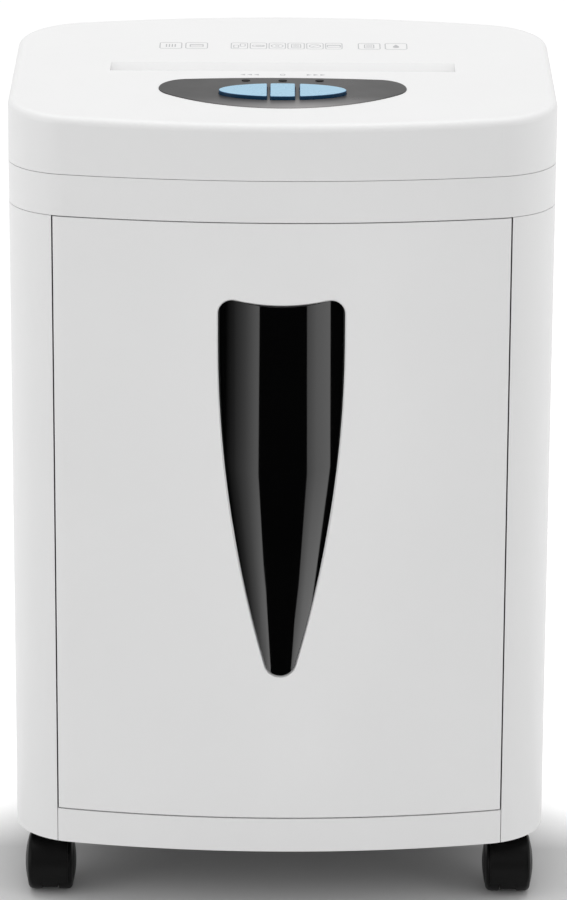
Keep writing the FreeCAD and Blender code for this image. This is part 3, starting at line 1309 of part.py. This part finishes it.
def main():
    os.makedirs("parts", exist_ok=True)
    right = side_panel()
    export(right, "side_panel_right")
    export(mirror_x(right), "side_panel_left")
    export(base_plate(), "base_plate")
    export(front_plinth(), "front_plinth")
    export(back_panel(), "back_panel")
    export(deck(), "deck")
    export(cabinet_screws(), "cabinet_screws")
    export(group([rail_section(1), rail_section(-1)]), "drawer_rails")
    export(drawer_front(), "drawer_front")
    export(drawer_window(), "drawer_window")
    export(waste_bin(), "waste_bin")
    export(drawer_glides(), "drawer_glides")
    export(drawer_screws(), "drawer_screws")
    hood = caster_hood()
    axle = caster_axle()
    wheel = caster_wheel()
    for x, y, side in caster_places():
        place = ("front" if side < 0 else "rear") + ("_left" if x < 0 else "_right")
        export(caster_frame(hood, x, y, side), "caster_hood_" + place)
        export(caster_frame(axle, x, y, side), "caster_axle_" + place)
        export(caster_frame(wheel, x, y, side), "wheel_a_" + place)
        export(caster_frame(mirror_x(wheel), x, y, side), "wheel_b_" + place)
    export(caster_stems(), "caster_stems")
    export(lower_housing(), "lower_housing")
    export(top_cover(), "top_cover")
    export(housing_screws(), "housing_screws")
    export(control_bezel(), "control_bezel")
    for index, name in enumerate(BUTTON_NAMES):
        export(button(index), name)
    export(indicator_lenses(), "indicator_lenses")
    export(tact_switches(), "tact_switches")
    export(control_board(), "control_board")
    export(paper_guide(), "paper_guide")
    export(paper_sensors(), "paper_sensors")
    export(front_cutter(), "front_cutter")
    export(rear_cutter(), "rear_cutter")
    export(cutter_bushes(), "cutter_bushes")
    export(cutter_frame_right(), "cutter_frame_right")
    export(cutter_frame_left(), "cutter_frame_left")
    export(tie_rods(), "tie_rods")
    export(stripper_comb(FRONT_CUTTER_Y, DISC_PITCH / 4, -1), "front_stripper_comb")
    export(stripper_comb(REAR_CUTTER_Y, -DISC_PITCH / 4, 1), "rear_stripper_comb")
    export(front_sync_gear(), "front_sync_gear")
    export(rear_sync_gear(), "rear_sync_gear")
    export(drive_gear(), "drive_gear")
    export(compound_gear(), "compound_gear")
    export(gear_spindle(), "gear_spindle")
    export(motor_housing(), "motor_housing")
    export(motor_shaft(), "motor_shaft")
    export(power_board(), "power_board")
    export(inlet_socket(), "inlet_socket")
    export(interlock_switch(), "interlock_switch")


main()
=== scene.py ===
import bmesh
import bpy
import json
import math
from mathutils import Matrix, Vector


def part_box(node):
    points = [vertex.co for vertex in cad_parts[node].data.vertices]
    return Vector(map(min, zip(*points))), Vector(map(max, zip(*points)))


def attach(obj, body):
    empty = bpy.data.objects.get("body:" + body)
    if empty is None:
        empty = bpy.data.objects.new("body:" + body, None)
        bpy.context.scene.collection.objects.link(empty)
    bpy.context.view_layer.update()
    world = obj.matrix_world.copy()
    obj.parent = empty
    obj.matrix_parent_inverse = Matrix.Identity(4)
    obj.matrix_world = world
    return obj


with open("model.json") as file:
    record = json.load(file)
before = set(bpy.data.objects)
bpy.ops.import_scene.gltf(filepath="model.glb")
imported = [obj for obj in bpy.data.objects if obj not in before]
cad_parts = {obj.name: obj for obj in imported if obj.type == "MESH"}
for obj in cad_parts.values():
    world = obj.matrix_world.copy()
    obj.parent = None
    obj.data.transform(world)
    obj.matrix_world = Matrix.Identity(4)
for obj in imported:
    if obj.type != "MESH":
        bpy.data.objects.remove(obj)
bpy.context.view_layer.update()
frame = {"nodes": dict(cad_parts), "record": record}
nodes = frame["nodes"]

# Metres throughout. +X right, +Y back, +Z up, the front of the shredder faces -Y.

# Camera: place, downward tilt, roll, focal length and sensor width in millimetres
CAMERA_PLACE = Vector((0.0017, -3.0276, 1.2349))
CAMERA_TILT = math.radians(90 - 17.26)
CAMERA_ROLL = math.radians(0.27)
CAMERA_LENS = 182.06
SENSOR_WIDTH = 36.0

# Sloping top of the cover, and how far the bezel and the ink stand above it
TOP_SLOPE = math.radians(4.27)
BEZEL_PROUD = 0.0005
INK_LIFT = 0.00003

# Printed marks: these lengths are in millimetres on the cover's top
MILLIMETRE = 0.001
INK_THICKNESS = 0.05
INK_LINE = 0.7
INK_COLOR = (0.48, 0.48, 0.49)
ARC_STEPS = 5
PICTOGRAM_Y = 54.0
PICTOGRAM_DEPTH = 15.0
PICTOGRAM_CORNER = 2.2
WIDE_PICTOGRAM = 15.6
NARROW_PICTOGRAM = 12.0
LABEL_X = 22.5
LABEL_Y = -14.5
ARROW_SIZE = 3.4
ARROW_STEP = 4.6
LABEL_RING = (1.9, 1.2)

# Floor: half its width, the Y range over which light is painted on so that it brightens, and its tones in
# front and behind
FLOOR_HALF = 30
FLOOR_FADE = (-0.01, 0.07)
FLOOR_FRONT = 0.68
FLOOR_BACK = 0.92
# Painted light: how strongly the floor glows towards the back
FLOOR_GLOW = 0.30

# Cards that only show in reflections: X ranges, Y places, heights, and bands of light across them
CARD_LIFT = 0.002
DARK_CARD_X = (-0.378, 0.9)
DARK_CARD_Y = -0.45
DARK_CARD_HEIGHT = 0.7
LEFT_BAND_X = (-0.174, -0.0654)
LEFT_BAND = [(0.0, 0.0), (0.28, 0.12), (0.6, 0.38), (0.92, 0.77), (0.985, 0.80), (1.0, 0.0)]
RIGHT_BAND_X = (0.076, 0.152)
RIGHT_BAND = [(0.0, 0.0), (0.015, 0.48), (0.4, 0.82), (0.97, 1.0), (1.0, 0.0)]
BAND_CARD_Y = -0.43
BAND_CARD_HEIGHT = 0.42
CARD_GLOW = 2.6

# From the high level down to the low one, the bands close in on the middle and grow brighter
CARD_LOW = 0.07
CARD_HIGH = 0.22
CARD_TAPER = 0.42
CARD_LOW_GAIN = 1.5

# Lights: the point they aim at, then place, width and height, and brightness of each
LIGHT_TARGET = (0, 0, 0.4)
OVERHEAD_PLACE = (0, 0.4, 2.6)
OVERHEAD_SIZE = (2.4, 2.4)
OVERHEAD = 1.34
FRONT_STRIP_PLACE = (1.0, -3.2, 0.35)
FRONT_STRIP_SIZE = (0.8, 1.6)
FRONT_STRIPS = 0.60
SIDE_PANEL_PLACE = (2.4, -1.3, 1.0)
SIDE_PANEL_SIZE = (1.6, 2.0)
LEFT_PANEL = 1.36
RIGHT_PANEL = 1.12
AIR = 0.70


# ---------------------------------------------------------------- materials

def new_material(name):
    """Empty node material with a Principled shader; returns the material, its tree and the shader."""
    material = bpy.data.materials.new(name)
    material.use_nodes = True
    tree = material.node_tree
    shader = tree.nodes["Principled BSDF"]
    return material, tree, shader


def object_space(tree, stretch=(1, 1, 1)):
    """Coordinates in metres on the piece, optionally stretched along each axis."""
    coords = tree.nodes.new("ShaderNodeTexCoord")
    mapping = tree.nodes.new("ShaderNodeMapping")
    mapping.inputs["Scale"].default_value = stretch
    tree.links.new(coords.outputs["Object"], mapping.inputs["Vector"])
    return mapping.outputs["Vector"]


def object_axes(tree):
    """The X, Y and Z outputs of the coordinates on the piece."""
    coords = tree.nodes.new("ShaderNodeTexCoord")
    split = tree.nodes.new("ShaderNodeSeparateXYZ")
    tree.links.new(coords.outputs["Object"], split.inputs["Vector"])
    return split.outputs


def noise(tree, vector, scale, detail=3.0, roughness=0.5):
    node = tree.nodes.new("ShaderNodeTexNoise")
    node.inputs["Scale"].default_value = scale
    node.inputs["Detail"].default_value = detail
    node.inputs["Roughness"].default_value = roughness
    tree.links.new(vector, node.inputs["Vector"])
    return node.outputs["Fac"]


def ramp(tree, factor, stops):
    """Colour ramp from (position, (r, g, b)) stops."""
    node = tree.nodes.new("ShaderNodeValToRGB")
    elements = node.color_ramp.elements
    while len(elements) < len(stops):
        elements.new(0.5)
    for element, (position, color) in zip(elements, stops):
        element.position = position
        element.color = (*color, 1.0)
    tree.links.new(factor, node.inputs["Fac"])
    return node.outputs["Color"]


def map_range(tree, value, low, high, to_low, to_high):
    node = tree.nodes.new("ShaderNodeMapRange")
    node.inputs["From Min"].default_value = low
    node.inputs["From Max"].default_value = high
    node.inputs["To Min"].default_value = to_low
    node.inputs["To Max"].default_value = to_high
    tree.links.new(value, node.inputs["Value"])
    return node.outputs["Result"]


def arithmetic(tree, operation, first, second):
    node = tree.nodes.new("ShaderNodeMath")
    node.operation = operation
    tree.links.new(first, node.inputs[0])
    tree.links.new(second, node.inputs[1])
    return node.outputs["Value"]


def bump(tree, shader, height, strength, distance):
    node = tree.nodes.new("ShaderNodeBump")
    node.inputs["Strength"].default_value = strength
    node.inputs["Distance"].default_value = distance
    tree.links.new(height, node.inputs["Height"])
    tree.links.new(node.outputs["Normal"], shader.inputs["Normal"])


def vary_roughness(tree, shader, factor, low, high):
    """Roughness that wanders between two values with a noise."""
    tree.links.new(map_range(tree, factor, 0.3, 0.7, low, high), shader.inputs["Roughness"])


def shade(color, factor):
    return tuple(min(1.0, c * factor) for c in color)


def grey(level):
    return (level, level, level)


def moulded_plastic(name, color, roughness, grain, grain_depth, mottle, specular=0.5):
    """Injection-moulded plastic: fine spark texture, faint mottle and slightly uneven gloss."""
    material, tree, shader = new_material(name)
    vector = object_space(tree)
    cloud = noise(tree, vector, 14.0, 4.0)
    tint = ramp(tree, cloud, [(0.3, shade(color, 1.0 - mottle)), (0.7, shade(color, 1.0 + mottle))])
    tree.links.new(tint, shader.inputs["Base Color"])
    gloss = noise(tree, vector, 60.0, 3.0)
    vary_roughness(tree, shader, gloss, roughness * 0.92, roughness * 1.08)
    bump(tree, shader, noise(tree, vector, grain, 2.0), 0.25, grain_depth)
    shader.inputs["Specular IOR Level"].default_value = specular
    return material


def glossy_window(name):
    """Smoked, almost black gloss plastic with faint flow marks and polish."""
    material, tree, shader = new_material(name)
    vector = object_space(tree)
    flow = noise(tree, vector, 9.0, 3.0)
    tint = ramp(tree, flow, [(0.2, (0.0012, 0.0012, 0.0013)), (0.8, (0.0018, 0.0018, 0.0019))])
    tree.links.new(tint, shader.inputs["Base Color"])
    smear = noise(tree, vector, 35.0, 4.0)
    vary_roughness(tree, shader, smear, 0.025, 0.04)
    bump(tree, shader, noise(tree, vector, 20.0, 1.0), 0.04, 0.0002)
    return material


def bezel_plastic(name):
    """Satin grey inlay with a reflection painted into its colour: darkest at its ends and lightening towards
    the middle of its front edge.
    """
    material, tree, shader = new_material(name)
    axes = object_axes(tree)
    vector = object_space(tree)
    # Painted reflection: the colour lightens from both ends towards the middle of the front edge, with a
    # random mottle on top.
    left = map_range(tree, axes["X"], -0.09, 0.02, 0.0, 1.0)
    right = map_range(tree, axes["X"], 0.02, 0.10, 1.0, 0.3)
    front = map_range(tree, axes["Y"], -0.066, -0.092, 0.12, 1.0)
    mottle = map_range(tree, noise(tree, vector, 14.0, 4.0), 0.3, 0.7, 0.92, 1.08)
    painted_reflection_and_mottle = left
    for factor in (right, front, mottle):
        painted_reflection_and_mottle = arithmetic(tree, "MULTIPLY", painted_reflection_and_mottle, factor)
    tint = ramp(tree, painted_reflection_and_mottle, [(0.0, grey(0.022)), (1.0, (0.30, 0.29, 0.29))])
    tree.links.new(tint, shader.inputs["Base Color"])
    vary_roughness(tree, shader, noise(tree, vector, 60.0, 3.0), 0.27, 0.33)
    bump(tree, shader, noise(tree, vector, 3200.0, 2.0), 0.25, 0.00003)
    shader.inputs["Specular IOR Level"].default_value = 0.3
    return material


def button_plastic(name):
    """Light blue cap with shade painted onto its sides: the colour deepens to navy where the surface turns
    away from straight up.
    """
    material, tree, shader = new_material(name)
    # Painted shade: the colour follows how far the surface faces up, navy on the sides and light blue on
    # top.
    geometry = tree.nodes.new("ShaderNodeNewGeometry")
    split = tree.nodes.new("ShaderNodeSeparateXYZ")
    tree.links.new(geometry.outputs["Normal"], split.inputs["Vector"])
    stops = [(0.45, (0.001, 0.035, 0.085)), (0.80, (0.05, 0.20, 0.42)), (0.96, (0.33, 0.56, 0.72))]
    side = ramp(tree, split.outputs["Z"], stops)
    vector = object_space(tree)
    cloud = noise(tree, vector, 90.0, 3.0)
    veil = ramp(tree, cloud, [(0.2, (0.93, 0.95, 0.97)), (0.8, (1.0, 1.0, 1.0))])
    mix = tree.nodes.new("ShaderNodeMix")
    mix.data_type = "RGBA"
    mix.blend_type = "MULTIPLY"
    mix.inputs["Factor"].default_value = 1.0
    tree.links.new(side, mix.inputs["A"])
    tree.links.new(veil, mix.inputs["B"])
    tree.links.new(mix.outputs["Result"], shader.inputs["Base Color"])
    vary_roughness(tree, shader, cloud, 0.24, 0.34)
    bump(tree, shader, noise(tree, vector, 900.0, 2.0), 0.08, 0.0001)
    return material


def metal(name, color, roughness, stretch=(1, 1, 1)):
    """Machined or rolled metal; a stretch other than even draws its grain out into lines."""
    material, tree, shader = new_material(name)
    lines = noise(tree, object_space(tree, stretch), 400.0, 4.0, 0.6)
    tint = ramp(tree, lines, [(0.3, shade(color, 0.82)), (0.7, shade(color, 1.1))])
    tree.links.new(tint, shader.inputs["Base Color"])
    vary_roughness(tree, shader, lines, roughness * 0.8, roughness * 1.2)
    bump(tree, shader, lines, 0.2, 0.00005)
    shader.inputs["Metallic"].default_value = 1.0
    return material


def circuit_board(name):
    """Solder mask with lighter copper tracks showing through."""
    material, tree, shader = new_material(name)
    vector = object_space(tree)
    brick = tree.nodes.new("ShaderNodeTexBrick")
    brick.inputs["Scale"].default_value = 160.0
    brick.inputs["Color1"].default_value = (0.012, 0.11, 0.035, 1)
    brick.inputs["Color2"].default_value = (0.016, 0.14, 0.045, 1)
    brick.inputs["Mortar"].default_value = (0.05, 0.26, 0.09, 1)
    brick.inputs["Mortar Size"].default_value = 0.03
    tree.links.new(vector, brick.inputs["Vector"])
    tree.links.new(brick.outputs["Color"], shader.inputs["Base Color"])
    vary_roughness(tree, shader, noise(tree, vector, 300.0), 0.25, 0.4)
    return material


WHITE = grey(0.80)

# Moulded plastics: colour, roughness, grain scale and depth, mottle, and gloss where it differs
slot_materials = {
    "shell_white": moulded_plastic("shell_white", WHITE, 0.42, 2600.0, 0.00006, 0.006),
    "door_white": moulded_plastic("door_white", shade(WHITE, 1.01), 0.40, 2600.0, 0.00006, 0.006),
    "window_black": glossy_window("window_black"),
    "bezel_grey": bezel_plastic("bezel_grey"),
    "button_blue": button_plastic("button_blue"),
    "lens_black": moulded_plastic("lens_black", grey(0.003), 0.30, 900.0, 0.00001, 0.1, 0.05),
    "caster_black": moulded_plastic("caster_black", grey(0.0055), 0.38, 2200.0, 0.00006, 0.12, 0.12),
    "wheel_black": moulded_plastic("wheel_black", grey(0.0035), 0.35, 1800.0, 0.00006, 0.15, 0.12),
    "zinc_steel": metal("zinc_steel", (0.62, 0.62, 0.63), 0.32),
    "cutter_steel": metal("cutter_steel", (0.38, 0.38, 0.39), 0.30, (8, 1, 1)),
    "frame_steel": metal("frame_steel", (0.55, 0.56, 0.57), 0.36, (1, 0.1, 1)),
    "gear_nylon": moulded_plastic("gear_nylon", (0.72, 0.69, 0.60), 0.45, 1500.0, 0.00004, 0.03),
    "bush_bronze": metal("bush_bronze", (0.62, 0.40, 0.18), 0.35),
    "motor_metal": metal("motor_metal", (0.20, 0.20, 0.21), 0.42),
    "board_green": circuit_board("board_green"),
    "fitting_black": moulded_plastic("fitting_black", (0.012, 0.012, 0.013), 0.45, 1800.0, 0.00005, 0.1),
    "bin_grey": moulded_plastic("bin_grey", (0.17, 0.175, 0.18), 0.5, 1600.0, 0.00006, 0.04),
    "inner_grey": moulded_plastic("inner_grey", (0.055, 0.055, 0.058), 0.55, 1500.0, 0.00006, 0.05),
}


def dress_cad_nodes():
    """Every CAD node takes its slot's material."""
    slots = {s["node"]: s["material_slot"] for s in frame["record"]["subparts"]}
    for name, piece in nodes.items():
        piece.data.materials.clear()
        piece.data.materials.append(slot_materials[slots[name]])


dress_cad_nodes()


# ---------------------------------------------------------------- printed marks on the cover

def plane_height():
    """Level of the cover's sloping top at Y = 0, worked back from the bezel's rear edge."""
    bezel_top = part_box("control_bezel")[1]
    return bezel_top.z - BEZEL_PROUD / math.cos(TOP_SLOPE) - bezel_top.y * math.tan(TOP_SLOPE)


def rounded_box(width, depth, radius):
    """Rectangle with rounded corners, centred on the origin."""
    points = []
    for turn, sx, sy in ((0, 1, 1), (90, -1, 1), (180, -1, -1), (270, 1, -1)):
        for i in range(ARC_STEPS + 1):
            angle = math.radians(turn + 90 * i / ARC_STEPS)
            x = sx * (width / 2 - radius) + radius * math.cos(angle)
            y = sy * (depth / 2 - radius) + radius * math.sin(angle)
            points.append((x, y))
    return points


def round_dot(radius):
    return rounded_box(2 * radius, 2 * radius, radius)


def moved(points, x, y, turn=0.0):
    """Points turned by an angle in degrees, then moved."""
    c = math.cos(math.radians(turn))
    s = math.sin(math.radians(turn))
    return [(x + px * c - py * s, y + px * s + py * c) for px, py in points]


def add_plate(mesh, outer):
    """Thin solid printed patch, in millimetres on the level drawing plane."""
    top = [mesh.verts.new((x, y, INK_THICKNESS)) for x, y in outer]
    bottom = [mesh.verts.new((x, y, 0)) for x, y in outer]
    mesh.faces.new(top)
    mesh.faces.new(list(reversed(bottom)))
    for i in range(len(outer)):
        j = (i + 1) % len(outer)
        mesh.faces.new((bottom[i], bottom[j], top[j], top[i]))


def add_ring(mesh, outer, inner):
    """Thin printed line between two outlines with the same number of points."""
    loops = []
    for points in (outer, inner):
        for z in (0, INK_THICKNESS):
            loops.append([mesh.verts.new((x, y, z)) for x, y in points])
    outer_low, outer_high, inner_low, inner_high = loops
    for i in range(len(outer)):
        j = (i + 1) % len(outer)
        mesh.faces.new((outer_high[i], outer_high[j], inner_high[j], inner_high[i]))
        mesh.faces.new((outer_low[j], outer_low[i], inner_low[i], inner_low[j]))
        mesh.faces.new((outer_low[i], outer_low[j], outer_high[j], outer_high[i]))
        mesh.faces.new((inner_low[j], inner_low[i], inner_high[i], inner_high[j]))


def add_box_line(mesh, x, y, width, depth, radius, line):
    outer = rounded_box(width, depth, radius)
    inner = rounded_box(width - 2 * line, depth - 2 * line, radius - line)
    add_ring(mesh, moved(outer, x, y), moved(inner, x, y))


def add_bar(mesh, x, y, length, width, turn=0.0):
    a = length / 2
    b = width / 2
    add_plate(mesh, moved([(-a, -b), (a, -b), (a, b), (-a, b)], x, y, turn))


def add_arrow(mesh, x, y, size, turn):
    """Filled triangle that points along +X before it is turned."""
    add_plate(mesh, moved([(-size / 2, -size / 2), (size / 2, 0), (-size / 2, size / 2)], x, y, turn))


def icon_pages(mesh, x, y):
    for offset in (-1.6, 1.6):
        add_box_line(mesh, x + offset * 1.4, y + offset, 4.0, 7.0, 0.9, INK_LINE)


def icon_sheet(mesh, x, y):
    add_box_line(mesh, x, y, 7.0, 9.0, 1.0, INK_LINE)
    for offset in (-2.0, 0.0, 2.0):
        add_bar(mesh, x, y + offset, 4.2, INK_LINE)


def icon_card(mesh, x, y):
    add_box_line(mesh, x, y, 9.6, 6.4, 1.1, INK_LINE)
    add_bar(mesh, x, y + 1.2, 8.4, 1.1)


def icon_disc(mesh, x, y):
    add_ring(mesh, moved(round_dot(4.4), x, y), moved(round_dot(4.4 - INK_LINE), x, y))
    add_ring(mesh, moved(round_dot(1.5), x, y), moved(round_dot(0.8), x, y))


def icon_clip(mesh, x, y):
    add_box_line(mesh, x, y, 9.0, 4.4, 2.2, INK_LINE)
    add_box_line(mesh, x + 0.9, y, 5.6, 2.2, 1.1, 0.5)


def icon_bar(mesh, x, y):
    add_ring(mesh, moved(round_dot(4.2), x, y), moved(round_dot(4.2 - INK_LINE), x, y))
    add_bar(mesh, x, y, 7.4, INK_LINE, 45)


def icon_strips(mesh, x, y):
    for offset in (-3.0, -1.0, 1.0, 3.0):
        add_bar(mesh, x + offset, y, 0.9, 7.0)


def icon_drop(mesh, x, y):
    add_plate(mesh, moved(round_dot(2.2), x, y - 1.4))
    add_arrow(mesh, x, y + 2.2, 4.2, 90)


PICTOGRAM_ROW = (
    (-77.3, icon_strips), (-59.5, icon_card),
    (-30.0, icon_pages), (-16.9, icon_clip), (-3.9, icon_disc),
    (9.1, icon_sheet), (22.1, icon_bar), (35.1, icon_card),
    (59.5, icon_sheet), (78.0, icon_drop),
)


def cover_marks():
    """Generic pictograms behind the slot, and a plain symbol behind each button."""
    mesh = bmesh.new()
    for index, (x, icon) in enumerate(PICTOGRAM_ROW):
        outermost = index < 2 or index >= len(PICTOGRAM_ROW) - 2
        width = WIDE_PICTOGRAM if outermost else NARROW_PICTOGRAM
        add_box_line(mesh, x, PICTOGRAM_Y, width, PICTOGRAM_DEPTH, PICTOGRAM_CORNER, INK_LINE)
        icon(mesh, x, PICTOGRAM_Y)
    for x, turn in ((-LABEL_X, 180), (LABEL_X, 0)):
        for step in (-1, 0, 1):
            add_arrow(mesh, x + step * ARROW_STEP, LABEL_Y, ARROW_SIZE, turn)
    outer, inner = [moved(round_dot(radius), 0, LABEL_Y) for radius in LABEL_RING]
    add_ring(mesh, outer, inner)
    bmesh.ops.recalc_face_normals(mesh, faces=mesh.faces)
    to_top = Matrix.Translation((0, 0, plane_height() + INK_LIFT)) @ Matrix.Rotation(TOP_SLOPE, 4, "X")
    mesh.transform(to_top @ Matrix.Scale(MILLIMETRE, 4))
    data = bpy.data.meshes.new("cover_marks")
    mesh.to_mesh(data)
    mesh.free()
    marks = bpy.data.objects.new("cover_marks", data)
    bpy.context.scene.collection.objects.link(marks)
    data.materials.append(moulded_plastic("printed_ink", INK_COLOR, 0.55, 3000.0, 0.00002, 0.08))
    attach(marks, "root")


cover_marks()


# ---------------------------------------------------------------- studio

def stage_floor():
    """Pale floor with light painted on towards the back: it lightens and glows there, like a lit studio
    sweep.
    """
    mesh = bpy.data.meshes.new("studio_floor")
    half = FLOOR_HALF
    corners = [(-half, -half, 0), (half, -half, 0), (half, half, 0), (-half, half, 0)]
    mesh.from_pydata(corners, [], [(0, 1, 2, 3)])
    floor = bpy.data.objects.new("studio_floor", mesh)
    bpy.context.scene.collection.objects.link(floor)
    material, tree, shader = new_material("studio_floor")
    depth = map_range(tree, object_axes(tree)["Y"], *FLOOR_FADE, 0.0, 1.0)
    tone = ramp(tree, depth, [(0.0, grey(FLOOR_FRONT)), (1.0, grey(FLOOR_BACK))])
    tree.links.new(tone, shader.inputs["Base Color"])
    # Painted light: the floor's own glow grows towards the back.
    shader.inputs["Emission Color"].default_value = (1, 1, 1, 1)
    tree.links.new(map_range(tree, depth, 0.0, 1.0, 0.0, FLOOR_GLOW), shader.inputs["Emission Strength"])
    shader.inputs["Roughness"].default_value = 0.8
    shader.inputs["Specular IOR Level"].default_value = 0.2
    mesh.materials.append(material)


def reflector(name, card_x, y, height, band_x, stops):
    """Upright card that only shows in reflections; the stops give its light across the band's X range."""
    mesh = bpy.data.meshes.new(name)
    x0, x1 = card_x
    corners = [(x0, y, CARD_LIFT), (x1, y, CARD_LIFT), (x1, y, height), (x0, y, height)]
    mesh.from_pydata(corners, [], [(0, 1, 2, 3)])
    card = bpy.data.objects.new(name, mesh)
    bpy.context.scene.collection.objects.link(card)
    material, tree, shader = new_material(name)
    axes = object_axes(tree)
    spread = map_range(tree, axes["Z"], CARD_LOW, CARD_HIGH, CARD_TAPER, 1.0)
    across = map_range(tree, arithmetic(tree, "DIVIDE", axes["X"], spread), *band_x, 0.0, 1.0)
    glow = ramp(tree, across, [(place, grey(level)) for place, level in stops])
    tree.links.new(glow, shader.inputs["Emission Color"])
    strength = map_range(tree, axes["Z"], CARD_LOW, CARD_HIGH, CARD_GLOW * CARD_LOW_GAIN, CARD_GLOW)
    tree.links.new(strength, shader.inputs["Emission Strength"])
    shader.inputs["Base Color"].default_value = (0, 0, 0, 1)
    shader.inputs["Specular IOR Level"].default_value = 0.0
    mesh.materials.append(material)
    card.visible_camera = False
    card.visible_diffuse = False
    card.visible_transmission = False
    card.visible_shadow = False


def area_light(name, place, size, radiance):
    """Soft rectangular light; its power follows from the brightness of its face."""
    width, height = size
    data = bpy.data.lights.new(name, "AREA")
    data.shape = "RECTANGLE"
    data.size = width
    data.size_y = height
    data.energy = radiance * math.pi * width * height
    light = bpy.data.objects.new(name, data)
    light.location = place
    light.rotation_euler = (Vector(LIGHT_TARGET) - Vector(place)).to_track_quat("-Z", "Y").to_euler()
    light.visible_camera = False
    bpy.context.scene.collection.objects.link(light)


def band_card_x(band_x):
    """X range of a card whose band closes in on the middle low down."""
    outer = max(band_x, key=abs)
    inner = min(band_x, key=abs)
    return inner * CARD_TAPER, outer


def mirrored(place, side):
    return (side * place[0], *place[1:])


def studio():
    stage_floor()
    reflector("dark_card", DARK_CARD_X, DARK_CARD_Y, DARK_CARD_HEIGHT, DARK_CARD_X, [(0.0, 0.0), (1.0, 0.0)])
    bands = (("left_card", LEFT_BAND_X, LEFT_BAND), ("right_card", RIGHT_BAND_X, RIGHT_BAND))
    for name, band_x, stops in bands:
        reflector(name, band_card_x(band_x), BAND_CARD_Y, BAND_CARD_HEIGHT, band_x, stops)
    area_light("overhead", OVERHEAD_PLACE, OVERHEAD_SIZE, OVERHEAD)
    for name, side, glow in (("left", -1, LEFT_PANEL), ("right", 1, RIGHT_PANEL)):
        area_light(name + "_front", mirrored(FRONT_STRIP_PLACE, side), FRONT_STRIP_SIZE, FRONT_STRIPS)
        area_light(name + "_side", mirrored(SIDE_PANEL_PLACE, side), SIDE_PANEL_SIZE, glow)
    world = bpy.data.worlds.new("studio_air")
    world.use_nodes = True
    world.node_tree.nodes["Background"].inputs["Color"].default_value = (1, 1, 1, 1)
    world.node_tree.nodes["Background"].inputs["Strength"].default_value = AIR
    bpy.context.scene.world = world


def camera():
    data = bpy.data.cameras.new("camera")
    data.lens = CAMERA_LENS
    data.sensor_width = SENSOR_WIDTH
    eye = bpy.data.objects.new("camera", data)
    turn = Matrix.Rotation(CAMERA_TILT, 4, "X") @ Matrix.Rotation(CAMERA_ROLL, 4, "Z")
    eye.matrix_world = Matrix.Translation(CAMERA_PLACE) @ turn
    bpy.context.scene.collection.objects.link(eye)
    bpy.context.scene.camera = eye


studio()
camera()
bpy.context.scene.view_settings.view_transform = "Standard"
